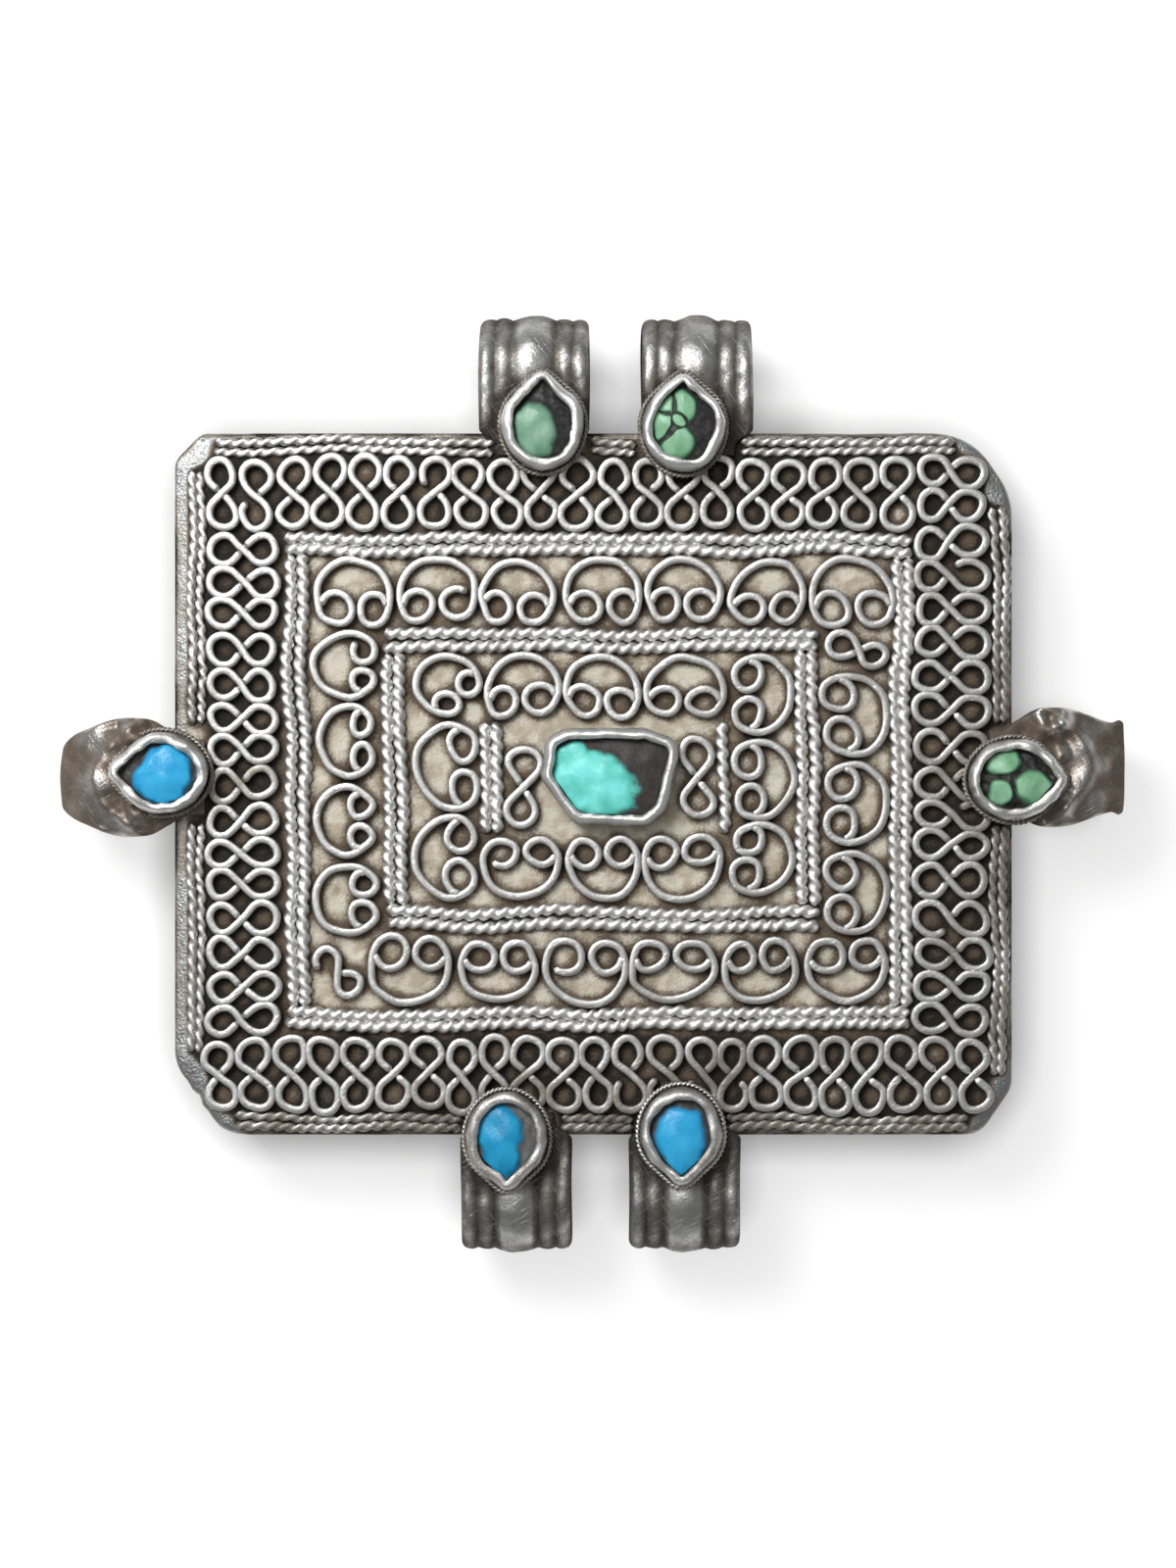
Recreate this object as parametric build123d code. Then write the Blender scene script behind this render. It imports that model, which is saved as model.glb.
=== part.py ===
"""Flat rectangular amulet box in silver, with a filigree face, six cord loops and seven set stones.

The box lies on its back: +X to the right along the face, +Y to the top of the face, +Z out of the face.
The origin is the middle of the back sheet's outer face. All sizes are in millimetres.
The face, with everything soldered to it, is a cover that lifts off a shallow tray.
The face is laid out from its middle outwards, so the box is as wide and high as its bands of wire need.
"""

from build123d import *
import math
import os

# Box and tray
BOX_DEPTH = 12.0
SHEET = 0.6
EDGE_ROUND = 0.25
TOP_LEFT_CUT = (2.4, 2.5)
TOP_LEFT_ROUND = 1.6
TOP_RIGHT_CUT = (3.8, 5.6)
TOP_RIGHT_ROUND = 6.0
BOTTOM_LEFT_CUT = (4.2, 6.4)
BOTTOM_LEFT_ROUND = 4.0
BOTTOM_RIGHT_CUT = (2.9, 4.2)
BOTTOM_RIGHT_ROUND = 2.5
TRAY_HEADROOM = 2.8
TRAY_CLEARANCE = 0.12

# Filigree wires, which are flat strips standing on edge, and twisted ropes
WIRE_WIDTH = 0.68
WIRE_HEIGHT = 0.95
WIRE_GAP = 0.06
EDGE_ROPE = 0.8
FRAME_ROPE = 0.95
ROPE_END = 1.2

# Plain rim outside the edge rope, and the extra room beside each rope pair, by side
RIM = {"left": 1.1, "right": 0.45, "top": 0.4, "bottom": 0.4}
SLACK = {"left": 0.33, "right": 0.0, "top": 0.1, "bottom": 0.4}

# Border of figure-eight wires: length across the band, the nearest pitch along it,
# and the most that a loop's radius may be of its centre's distance from the crossing
EIGHT_LENGTH = 6.7
EIGHT_PITCH = 3.09
LOOPS_APART = 0.75

# Two rings of scrolls: depth across the band, the nearest pitch along it, and the widest scroll
SCROLL_DEPTH = 6.2
SCROLL_PITCH = 7.4
SCROLL_WIDEST = 8.0
CORNER_SCROLL_WIDTH = 6.2
CORNER_SCROLL_DEPTH = 5.5

# Two slanting eights that fill odd places in the outer ring, and how far each is turned from lying flat
SPARE_EIGHT_MARGIN = 0.3
SPARE_EIGHT_WIDTH = 2.8
TOP_EIGHT_TURN = -20.0
CORNER_EIGHT_TURN = -45.0

# Middle of the face: a bezel with a large stone, a small eight on each side and short ropes
CENTRE_OUTLINE = [
    (-5.3, 0.4),
    (-4.9, 3.2),
    (-3.7, 3.75),
    (3.0, 3.75),
    (5.4, 2.9),
    (4.2, -2.3),
    (3.0, -3.3),
    (-2.8, -3.1),
]
CENTRE_OUTLINE_ROUND = 0.7
CENTRE_BEZEL_HEIGHT = 3.2
CENTRE_MARGIN = 0.7
CENTRE_GAP = 0.1
CENTRE_EIGHT_LENGTH = 7.2
CENTRE_EIGHT_WIDTH = 3.2
CENTRE_EIGHT_DROP = {"left": 0.9, "right": -0.1}

# Cord loops: a ribbed strap soldered over the edge of the face and rolled into a ring
LOOP_BORE = 4.0
STRAP = 0.8
STRAP_WIDTH = 10.0
SIDE_STRAP_WIDTH = 7.7
SIDE_SHOULDER_WIDTH = 10.4
SIDE_SHOULDER_LENGTH = 4.6
LOOP_TURN = 315.0
LOOP_CLEARANCE = 0.1
RIB_MAIN_HALF, RIB_MAIN_HEIGHT = 1.45, 0.45
RIB_SIDE_AT, RIB_SIDE_HALF, RIB_SIDE_HEIGHT = 2.55, 0.7, 0.22
RIB_EDGE_HALF, RIB_EDGE_HEIGHT = 0.45, 0.18
LIP_ROUND = 0.55
LIP_ANGLE = 82.0

# Small bezels on the loops: a drop-shaped opening with its point outwards
STONE_WIDTH = 5.6
STONE_POINT = 1.1
POINT_ROUND = 0.5
BEZEL_WALL = 0.75
BEZEL_TAPER = 7.0
BEZEL_HEIGHT = 2.4
BEZEL_FLOOR = 0.4
LAC_DEPTH = 0.6
STONE_FIT = 0.05
STONE_CROWN = 0.8
STONE_BELOW_RIM = 0.15
COLLAR_WIRE = 0.6

# Each loop: name, side of the box, place along that side, and the place of its bezel:
# beside the loop's middle, and out from the edge of the box
LOOPS = [
    ("top_left", "top", -5.3, 0.8, 0.7),
    ("top_right", "top", 9.3, -1.3, 0.55),
    ("bottom_left", "bottom", -6.9, -0.8, 0.2),
    ("bottom_right", "bottom", 8.2, -0.4, -0.25),
    ("left", "left", 0.6, 0.4, 1.0),
    ("right", "right", 1.5, -1.1, 0.05),
]

# Levels above the back
FACE_TOP = BOX_DEPTH
FACE_UNDER = BOX_DEPTH - SHEET
LOOP_OUTER = LOOP_BORE + STRAP + RIB_MAIN_HEIGHT
LOOP_OUT = LOOP_OUTER + LOOP_CLEARANCE
LOOP_LEVEL = FACE_TOP - LOOP_BORE
BEZEL_SEAT = FACE_TOP + max(STRAP + RIB_MAIN_HEIGHT, WIRE_HEIGHT + WIRE_GAP)

# Bands of the face, each with the gap to the next one
EDGE_PAIR = 2 * EDGE_ROPE + 2 * WIRE_GAP
FRAME_PAIR = 2 * FRAME_ROPE + 2 * WIRE_GAP
EIGHT_BAND = EIGHT_LENGTH + WIRE_GAP
SCROLL_BAND = SCROLL_DEPTH + WIRE_GAP
ALL_BANDS = EDGE_PAIR + EIGHT_BAND + 2 * FRAME_PAIR + 2 * SCROLL_BAND
PAIR_STEPS = [FRAME_ROPE / 2 + WIRE_GAP / 2, 1.5 * FRAME_ROPE + 1.5 * WIRE_GAP]

# Middle of the face, as wide as its pieces side by side
CENTRE_XS = [x for x, _ in CENTRE_OUTLINE]
CENTRE_YS = [y for _, y in CENTRE_OUTLINE]
CENTRE_BEZEL_WIDTH = max(CENTRE_XS) - min(CENTRE_XS) + 2 * BEZEL_WALL
CENTRE_ROOM = CENTRE_BEZEL_WIDTH + 2 * (CENTRE_EIGHT_WIDTH + 2 * CENTRE_GAP)
MIDDLE_WIDTH = FRAME_PAIR + CENTRE_ROOM + FRAME_ROPE + WIRE_GAP
MIDDLE_HEIGHT = max(CENTRE_YS) - min(CENTRE_YS) + 2 * (BEZEL_WALL + CENTRE_MARGIN)

# Every rope pair of a side is followed by that side's slack, and so is the band before it
SLACK_TIMES = 4
MARGIN = {side: ALL_BANDS + RIM[side] + SLACK_TIMES * SLACK[side] for side in RIM}
BOX_WIDTH = MIDDLE_WIDTH + MARGIN["left"] + MARGIN["right"]
BOX_HEIGHT = MIDDLE_HEIGHT + MARGIN["top"] + MARGIN["bottom"]


def inset(rect, amount, slack=False):
    """Rectangle (x0, y0, x1, y1) moved in on all sides, with each side's own slack if asked."""
    x0, y0, x1, y1 = rect
    extra = SLACK if slack else dict.fromkeys(SLACK, 0.0)
    return (
        x0 + amount + extra["left"],
        y0 + amount + extra["bottom"],
        x1 - amount - extra["right"],
        y1 - amount - extra["top"],
    )


# Nested rectangles of the face, from the rim to the middle
RIM_RECT = (
    -BOX_WIDTH / 2 + RIM["left"],
    -BOX_HEIGHT / 2 + RIM["bottom"],
    BOX_WIDTH / 2 - RIM["right"],
    BOX_HEIGHT / 2 - RIM["top"],
)
EIGHTS_RECT = inset(RIM_RECT, EDGE_PAIR)
FRAME_RECT = inset(EIGHTS_RECT, EIGHT_BAND, slack=True)
SCROLL_RECT = inset(FRAME_RECT, FRAME_PAIR, slack=True)
INNER_FRAME_RECT = inset(SCROLL_RECT, SCROLL_BAND, slack=True)
FIELD_RECT = inset(INNER_FRAME_RECT, FRAME_PAIR, slack=True)
MIDDLE_RECT = inset(FIELD_RECT, SCROLL_BAND)


def box_outline(inward=0.0):
    """The box's plan: a rectangle with its four corners cut off and rounded, moved inwards."""
    right, top = BOX_WIDTH / 2, BOX_HEIGHT / 2
    corners = [
        ((-right + TOP_LEFT_CUT[0], top), TOP_LEFT_ROUND),
        ((right - TOP_RIGHT_CUT[0], top), TOP_RIGHT_ROUND),
        ((right, top - TOP_RIGHT_CUT[1]), TOP_RIGHT_ROUND),
        ((right, -top + BOTTOM_RIGHT_CUT[1]), BOTTOM_RIGHT_ROUND),
        ((right - BOTTOM_RIGHT_CUT[0], -top), BOTTOM_RIGHT_ROUND),
        ((-right + BOTTOM_LEFT_CUT[0], -top), BOTTOM_LEFT_ROUND),
        ((-right, -top + BOTTOM_LEFT_CUT[1]), BOTTOM_LEFT_ROUND),
        ((-right, top - TOP_LEFT_CUT[1]), TOP_LEFT_ROUND),
    ]
    plan = make_face(Polyline(*[point for point, _ in corners], close=True))
    for point, radius in corners:
        corner = plan.vertices().sort_by_distance(Vector(*point))[0]
        plan = fillet(corner, radius)
    return offset(plan, -inward) if inward else plan


def face_sheet():
    """Front sheet, with its upper edge eased by wear."""
    sheet = Pos(0, 0, FACE_UNDER) * extrude(box_outline(), SHEET)
    rim = sheet.faces().sort_by(Axis.Z)[-1].outer_wire().edges()
    return fillet(rim, EDGE_ROUND)


def front_wall():
    """Band of sheet bent round the edge of the box, under the face."""
    ring = box_outline() - box_outline(SHEET)
    return Pos(0, 0, SHEET) * extrude(ring, FACE_UNDER - SHEET)


def back_sheet():
    """Flat back, with its lower edge eased by wear."""
    sheet = extrude(box_outline(), SHEET)
    rim = sheet.faces().sort_by(Axis.Z)[0].outer_wire().edges()
    return fillet(rim, EDGE_ROUND)


def tray_wall():
    """Band standing on the back sheet, which slides inside the front wall."""
    outer = SHEET + TRAY_CLEARANCE
    ring = box_outline(outer) - box_outline(outer + SHEET)
    return Pos(0, 0, SHEET) * extrude(ring, FACE_UNDER - SHEET - TRAY_HEADROOM)


def strip(path):
    """Flat wire standing on edge on the face, along a path in the XY plane."""
    return Pos(0, 0, FACE_TOP) * extrude(trace(path, WIRE_WIDTH), WIRE_HEIGHT)


def eight(width, length):
    """Figure eight bent from one wire: two round loops, and straight runs that cross where the wire ends.

    The loops are as wide as asked, or as wide as the length lets them be without meeting.
    """
    widest = (length - WIRE_WIDTH) / (2 + 2 / LOOPS_APART)
    loop_radius = min((width - WIRE_WIDTH) / 2, widest)
    centre = (length - WIRE_WIDTH) / 2 - loop_radius
    lean = math.asin(loop_radius / centre)
    lean_degrees = math.degrees(lean)
    run = centre * math.cos(lean)
    # the ends stop where their corners would come within the gap of the run that they cross
    stop = (WIRE_WIDTH / 2 * (1 + abs(math.cos(2 * lean))) + WIRE_GAP) / math.sin(2 * lean)
    left = Vector(-math.sin(lean), math.cos(lean))
    right = Vector(math.sin(lean), math.cos(lean))
    turn = 180 + 2 * lean_degrees
    path = [
        Line(left * stop, left * run),
        CenterArc((0, centre), loop_radius, 180 + lean_degrees, -turn),
        Line(right * run, right * -run),
        CenterArc((0, -centre), loop_radius, 180 - lean_degrees, turn),
        Line(left * -run, left * -stop),
    ]
    return strip(path)


def scroll_sizes(width, depth):
    """Arc radius, curl radius, and the curls' place: beside the axis, and below the arc's centre."""
    arc = (width - WIRE_WIDTH) / 2
    apart = (WIRE_WIDTH + WIRE_GAP) / 2
    room = depth - WIRE_WIDTH - arc
    b = arc + apart - room
    c = room**2 - arc**2 + apart**2
    curl = -b + math.sqrt(b**2 - c)
    return arc, curl, curl + apart, room - curl


def scroll(width, depth):
    """Ram's-horn scroll: a large arc whose two ends curl inwards. The arc's outer side is at y = 0."""
    arc, curl, aside, below = scroll_sizes(width, depth)
    centre = -(arc + WIRE_WIDTH / 2)
    meet = math.degrees(math.atan2(below, aside))
    clear = WIRE_WIDTH + WIRE_GAP
    # the curl stops where its own end would come within a wire's width of the large arc
    span = math.hypot(aside, below)
    reach = ((arc - clear) ** 2 - span**2 - curl**2) / (2 * span * curl)
    sweep = 360 - math.degrees(math.acos(max(-1.0, min(1.0, reach))))
    path = [
        CenterArc((-aside, centre - below), curl, 180 + meet, sweep),
        CenterArc((0, centre), arc, -meet, 180 + 2 * meet),
        CenterArc((aside, centre - below), curl, -meet, -sweep),
    ]
    return strip(path)


def row(pitch, low, high):
    """Middles of equal places between low and high, as many as suit the pitch best, and their own pitch."""
    count = max(1, round((high - low) / pitch))
    step = (high - low) / count
    return [low + step * (i + 0.5) for i in range(count)], step


def eight_rows():
    """The border of eights: the bottom row takes both its corners, the right column takes the top one."""
    x0, y0, x1, y1 = EIGHTS_RECT
    middle = EIGHT_LENGTH / 2
    spans = {
        "top": (x0, x1 - EIGHT_BAND),
        "bottom": (x0, x1),
        "left": (y0 + EIGHT_BAND, y1 - EIGHT_BAND),
        "right": (y0 + EIGHT_BAND, y1),
    }
    seat = {
        "top": lambda p: Pos(p, y1 - middle),
        "bottom": lambda p: Pos(p, y0 + middle),
        "left": lambda p: Pos(x0 + middle, p) * Rot(0, 0, 90),
        "right": lambda p: Pos(x1 - middle, p) * Rot(0, 0, 90),
    }
    nodes = {}
    for side, (low, high) in spans.items():
        places, step = row(EIGHT_PITCH, low, high)
        one = eight(step - WIRE_GAP, EIGHT_LENGTH)
        nodes[f"eights_{side}"] = [seat[side](p) * one for p in places]
    return nodes


def scroll_row(side, rect, low, high):
    """Scrolls side by side along one side of a rectangle, each with its arc against that side."""
    x0, y0, x1, y1 = rect
    places, step = row(SCROLL_PITCH, low, high)
    one = scroll(min(step - WIRE_GAP, SCROLL_WIDEST), SCROLL_DEPTH)
    seat = {
        "top": lambda p: Pos(p, y1),
        "bottom": lambda p: Pos(p, y0) * Rot(0, 0, 180),
        "left": lambda p: Pos(x0, p) * Rot(0, 0, 90),
        "right": lambda p: Pos(x1, p) * Rot(0, 0, -90),
    }
    return [seat[side](p) * one for p in places]


def spare_eight(turn):
    """A lying eight turned in the plane of the face, with its width and height."""
    length = SCROLL_DEPTH - 2 * SPARE_EIGHT_MARGIN
    solid = Rot(0, 0, 90 + turn) * eight(SPARE_EIGHT_WIDTH, length)
    size = solid.bounding_box().size
    return solid, size.X, size.Y


def outer_scrolls():
    """Outer ring, with a slanting eight at the top of its right column and one in its bottom left corner."""
    x0, y0, x1, y1 = SCROLL_RECT
    low, high = y0 + SCROLL_BAND, y1 - SCROLL_BAND
    middle = SCROLL_DEPTH / 2
    top_eight, _, top_room = spare_eight(TOP_EIGHT_TURN)
    corner_eight, corner_room, _ = spare_eight(CORNER_EIGHT_TURN)
    top_eight = Pos(x1 - middle, high - top_room / 2) * top_eight
    corner_eight = Pos(x0 + corner_room / 2, y0 + middle) * corner_eight
    right_column = scroll_row("right", SCROLL_RECT, low, high - top_room - WIRE_GAP)
    return {
        "outer_scrolls_top": scroll_row("top", SCROLL_RECT, x0, x1),
        "outer_scrolls_bottom": scroll_row("bottom", SCROLL_RECT, x0 + corner_room + WIRE_GAP, x1),
        "outer_scrolls_left": scroll_row("left", SCROLL_RECT, low, high) + [corner_eight],
        "outer_scrolls_right": right_column + [top_eight],
    }


def inner_scrolls():
    """Inner ring, whose top left corner holds one scroll set slantwise."""
    x0, y0, x1, y1 = FIELD_RECT
    arc, curl, aside, below = scroll_sizes(CORNER_SCROLL_WIDTH, CORNER_SCROLL_DEPTH)
    near = arc + WIRE_WIDTH / 2
    far = max(arc, (aside + below) / math.sqrt(2) + curl) + WIRE_WIDTH / 2
    corner = near + far + WIRE_GAP
    slanting = Pos(x0 + near, y1 - near) * Rot(0, 0, 45) * Pos(0, near)
    slanting = slanting * scroll(CORNER_SCROLL_WIDTH, CORNER_SCROLL_DEPTH)
    return {
        "inner_scrolls_top": scroll_row("top", FIELD_RECT, x0 + corner, x1 - SCROLL_BAND) + [slanting],
        "inner_scrolls_bottom": scroll_row("bottom", FIELD_RECT, x0 + SCROLL_BAND, x1 - SCROLL_BAND),
        "inner_scrolls_left": scroll_row("left", FIELD_RECT, y0, y1 - corner),
        "inner_scrolls_right": scroll_row("right", FIELD_RECT, y0, y1),
    }


def rope(start, end, diameter):
    """Twisted wire lying on the face between two points, as a round rod of the twist's outer diameter."""
    along = Vector(*end, 0) - Vector(*start, 0)
    seat = Plane(origin=(*start, FACE_TOP + diameter / 2), z_dir=along)
    return seat * Cylinder(diameter / 2, along.length, align=(Align.CENTER, Align.CENTER, Align.MIN))


def rope_frame(rect, prefix):
    """Two ropes along each side of a rectangle; the side pairs fit between the top and bottom pairs."""
    x0, y0, x1, y1 = rect
    low, high = y0 + FRAME_PAIR, y1 - FRAME_PAIR
    return {
        f"{prefix}_top": [rope((x0, y1 - s), (x1, y1 - s), FRAME_ROPE) for s in PAIR_STEPS],
        f"{prefix}_bottom": [rope((x0, y0 + s), (x1, y0 + s), FRAME_ROPE) for s in PAIR_STEPS],
        f"{prefix}_left": [rope((x0 + s, low), (x0 + s, high), FRAME_ROPE) for s in PAIR_STEPS],
        f"{prefix}_right": [rope((x1 - s, low), (x1 - s, high), FRAME_ROPE) for s in PAIR_STEPS],
    }


def strap_width(side):
    """Width of a loop's strap where it crosses the edge of the face."""
    return STRAP_WIDTH if side in ("top", "bottom") else SIDE_SHOULDER_WIDTH


def free_stretches(side, low, high):
    """Stretches of one side of the box that its loops leave free for the edge rope."""
    taken = sorted((place, strap_width(side) / 2 + WIRE_GAP) for _, at, place, *_ in LOOPS if at == side)
    ends = [low]
    for place, half in taken:
        ends += [place - half, place + half]
    ends.append(high)
    return list(zip(ends[::2], ends[1::2]))


def edge_ropes():
    """Two ropes side by side just inside the rim, broken where a loop's strap crosses them."""
    x0, y0, x1, y1 = RIM_RECT
    right, top = BOX_WIDTH / 2, BOX_HEIGHT / 2
    steps = [EDGE_ROPE / 2 + WIRE_GAP / 2, 1.5 * EDGE_ROPE + 1.5 * WIRE_GAP]
    spans = {
        "top": (-right + TOP_LEFT_CUT[0] + ROPE_END, right - TOP_RIGHT_CUT[0] - ROPE_END),
        "bottom": (-right + BOTTOM_LEFT_CUT[0] + ROPE_END, right - BOTTOM_RIGHT_CUT[0] - ROPE_END),
        "left": (-top + BOTTOM_LEFT_CUT[1] + ROPE_END, top - TOP_LEFT_CUT[1] - ROPE_END),
        "right": (-top + BOTTOM_RIGHT_CUT[1] + ROPE_END, top - TOP_RIGHT_CUT[1] - ROPE_END),
    }
    point = {
        "top": lambda p, s: (p, y1 - s),
        "bottom": lambda p, s: (p, y0 + s),
        "left": lambda p, s: (x0 + s, p),
        "right": lambda p, s: (x1 - s, p),
    }
    nodes = {}
    for side, (low, high) in spans.items():
        place = point[side]
        nodes[f"edge_rope_{side}"] = [
            rope(place(a, s), place(b, s), EDGE_ROPE)
            for a, b in free_stretches(side, low, high)
            for s in steps
        ]
    return nodes


def centre_bezel_place():
    """Where the middle stone's outline has its own origin on the face."""
    x0, y0, _, _ = MIDDLE_RECT
    before = FRAME_PAIR + CENTRE_EIGHT_WIDTH + 2 * CENTRE_GAP + BEZEL_WALL
    return x0 + before - min(CENTRE_XS), y0 + CENTRE_MARGIN + BEZEL_WALL - min(CENTRE_YS)


def middle_pieces():
    """Short ropes and small eights on both sides of the middle bezel."""
    x0, y0, x1, y1 = MIDDLE_RECT
    low, high = y0 + WIRE_GAP, y1 - WIRE_GAP
    level = (y0 + y1) / 2
    small = eight(CENTRE_EIGHT_WIDTH, CENTRE_EIGHT_LENGTH)
    left = x0 + FRAME_PAIR + CENTRE_GAP + CENTRE_EIGHT_WIDTH / 2
    right = x1 - FRAME_ROPE - WIRE_GAP - CENTRE_GAP - CENTRE_EIGHT_WIDTH / 2
    right_rope = x1 - PAIR_STEPS[0]
    return {
        "centre_rope_left": [rope((x0 + s, low), (x0 + s, high), FRAME_ROPE) for s in PAIR_STEPS],
        "centre_rope_right": [rope((right_rope, low), (right_rope, high), FRAME_ROPE)],
        "centre_eight_left": [Pos(left, level - CENTRE_EIGHT_DROP["left"]) * small],
        "centre_eight_right": [Pos(right, level - CENTRE_EIGHT_DROP["right"]) * small],
    }


def strap_profile(width):
    """Cross-section of a ribbed strap in the XZ plane: flat underneath at z = 0, ribs on top."""
    edge_at = width / 2 - RIB_EDGE_HALF
    side_at = min(RIB_SIDE_AT, edge_at - RIB_EDGE_HALF - RIB_SIDE_HALF)
    ribs = [
        (-edge_at, RIB_EDGE_HALF, RIB_EDGE_HEIGHT),
        (-side_at, RIB_SIDE_HALF, RIB_SIDE_HEIGHT),
        (0.0, RIB_MAIN_HALF, RIB_MAIN_HEIGHT),
        (side_at, RIB_SIDE_HALF, RIB_SIDE_HEIGHT),
        (edge_at, RIB_EDGE_HALF, RIB_EDGE_HEIGHT),
    ]
    section = Rectangle(width, STRAP, align=(Align.CENTER, Align.MIN))
    for at, half, height in ribs:
        foot, crest, other_foot = (at - half, STRAP), (at, STRAP + height), (at + half, STRAP)
        section += make_face([ThreePointArc(foot, crest, other_foot), Line(other_foot, foot)])
    return Plane.XZ * section


def loop(ring_width, shoulder_width, shoulder_length, tab, lip):
    """Cord loop in its own frame: the box's edge along X at y = 0, outwards to +Y.

    The strap runs flat over the edge of the face and rolls round its bore until it nearly meets itself.
    """
    crown = Pos(0, LOOP_OUT, FACE_TOP)
    ring = revolve(
        crown * strap_profile(ring_width),
        Axis((0, LOOP_OUT, LOOP_LEVEL), (-1, 0, 0)),
        LOOP_TURN,
    )
    flat = extrude(crown * strap_profile(ring_width), LOOP_OUT + tab, dir=(0, -1, 0))
    solid = ring + flat
    if shoulder_width > ring_width:
        ear = Pos(0, shoulder_length, FACE_TOP) * strap_profile(shoulder_width)
        solid += extrude(ear, shoulder_length + tab, dir=(0, -1, 0))
    if lip:
        turn = math.radians(LIP_ANGLE)
        reach = LOOP_BORE + STRAP
        seat = Pos(0, LOOP_OUT + reach * math.sin(turn), LOOP_LEVEL + reach * math.cos(turn))
        solid += seat * Rot(0, 90, 0) * Cylinder(LIP_ROUND, ring_width)
    return solid


def drop(grow=0.0):
    """Drop shape with its round end centred on the origin and its point to +Y, grown all round."""
    radius = STONE_WIDTH / 2
    tip = radius + STONE_POINT
    lean = math.degrees(math.asin(radius / tip))
    touch = Vector(radius * math.cos(math.radians(lean)), radius * math.sin(math.radians(lean)))
    outline = [
        CenterArc((0, 0), radius, 180 - lean, 180 + 2 * lean),
        Line(touch, (0, tip)),
        Line((0, tip), (-touch.X, touch.Y)),
    ]
    plan = make_face(outline)
    point = plan.vertices().sort_by(Axis.Y)[-1]
    plan = fillet(point, POINT_ROUND)
    return offset(plan, grow) if grow else plan


def centre_plan(grow=0.0):
    """Uneven outline of the middle stone, grown all round."""
    plan = make_face(Polyline(*CENTRE_OUTLINE, close=True))
    plan = fillet(plan.vertices(), CENTRE_OUTLINE_ROUND)
    return offset(plan, grow) if grow else plan


def bezel(plan, height):
    """Cup with a thin floor: its opening is the plan, and its wall slopes inwards on the outside only."""
    cup = extrude(plan(BEZEL_WALL), height, taper=BEZEL_TAPER)
    return cup - Pos(0, 0, BEZEL_FLOOR) * extrude(plan(), height)


def lac_bed(plan):
    """Dark lac that beds the stone on the bezel's floor."""
    return Pos(0, 0, BEZEL_FLOOR) * extrude(plan(-STONE_FIT), LAC_DEPTH)


def stone(plan, height):
    """Cabochon on its bed, domed by a large sphere, a little lower than the bezel's rim."""
    foot = BEZEL_FLOOR + LAC_DEPTH
    top = height - STONE_BELOW_RIM
    blank = extrude(plan(-STONE_FIT), top - foot)
    spread = blank.bounding_box()
    half = spread.diagonal / 2
    ball = (half**2 + STONE_CROWN**2) / (2 * STONE_CROWN)
    middle = spread.center()
    dome = Pos(middle.X, middle.Y, top - foot - ball) * Sphere(ball)
    return Pos(0, 0, foot) * (blank & dome)


def collar(plan):
    """Twisted wire round a bezel's foot, as a plain band."""
    inner = BEZEL_WALL + WIRE_GAP
    return extrude(plan(inner + COLLAR_WIRE) - plan(inner), COLLAR_WIRE)


def loop_pieces():
    """Six loops, each with a bezel, a collar wire and a stone; the beds of lac share one node."""
    right, top = BOX_WIDTH / 2, BOX_HEIGHT / 2
    seats = {
        "top": lambda p: Pos(p, top),
        "bottom": lambda p: Pos(p, -top) * Rot(0, 0, 180),
        "left": lambda p: Pos(-right, p) * Rot(0, 0, 90),
        "right": lambda p: Pos(right, p) * Rot(0, 0, -90),
    }
    along = {"top": 1, "bottom": -1, "left": 1, "right": -1}
    nodes = {"lac_beds": []}
    for name, side, place, beside, out in LOOPS:
        on_side = side in ("left", "right")
        ring_width = SIDE_STRAP_WIDTH if on_side else STRAP_WIDTH
        seat = seats[side](place)
        tab = RIM[side] + EDGE_PAIR - WIRE_GAP
        ears = SIDE_SHOULDER_LENGTH if on_side else 0.0
        nodes[f"loop_{name}"] = [seat * loop(ring_width, strap_width(side), ears, tab, name == "right")]
        setting = seat * Pos(beside * along[side], out, BEZEL_SEAT)
        nodes[f"bezel_{name}"] = [setting * bezel(drop, BEZEL_HEIGHT)]
        nodes[f"collar_{name}"] = [setting * collar(drop)]
        nodes[f"stone_{name}"] = [setting * stone(drop, BEZEL_HEIGHT)]
        nodes["lac_beds"].append(setting * lac_bed(drop))
    middle = Pos(*centre_bezel_place(), FACE_TOP)
    nodes["centre_bezel"] = [middle * bezel(centre_plan, CENTRE_BEZEL_HEIGHT)]
    nodes["centre_stone"] = [middle * stone(centre_plan, CENTRE_BEZEL_HEIGHT)]
    nodes["lac_beds"].append(middle * lac_bed(centre_plan))
    return nodes


def main():
    nodes = {
        "face_sheet": [face_sheet()],
        "front_wall": [front_wall()],
        "back_sheet": [back_sheet()],
        "tray_wall": [tray_wall()],
    }
    nodes |= edge_ropes() | eight_rows()
    nodes |= rope_frame(FRAME_RECT, "outer_rope") | outer_scrolls()
    nodes |= rope_frame(INNER_FRAME_RECT, "inner_rope") | inner_scrolls()
    nodes |= middle_pieces() | loop_pieces()
    os.makedirs("parts", exist_ok=True)
    for name, shapes in nodes.items():
        solids = [solid for shape in shapes for solid in shape.solids()]
        export_step(Compound(solids), f"parts/{name}.step")
        print(name, len(solids), round(sum(s.volume for s in solids), 1))
    print(len(nodes), "nodes")


main()
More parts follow.
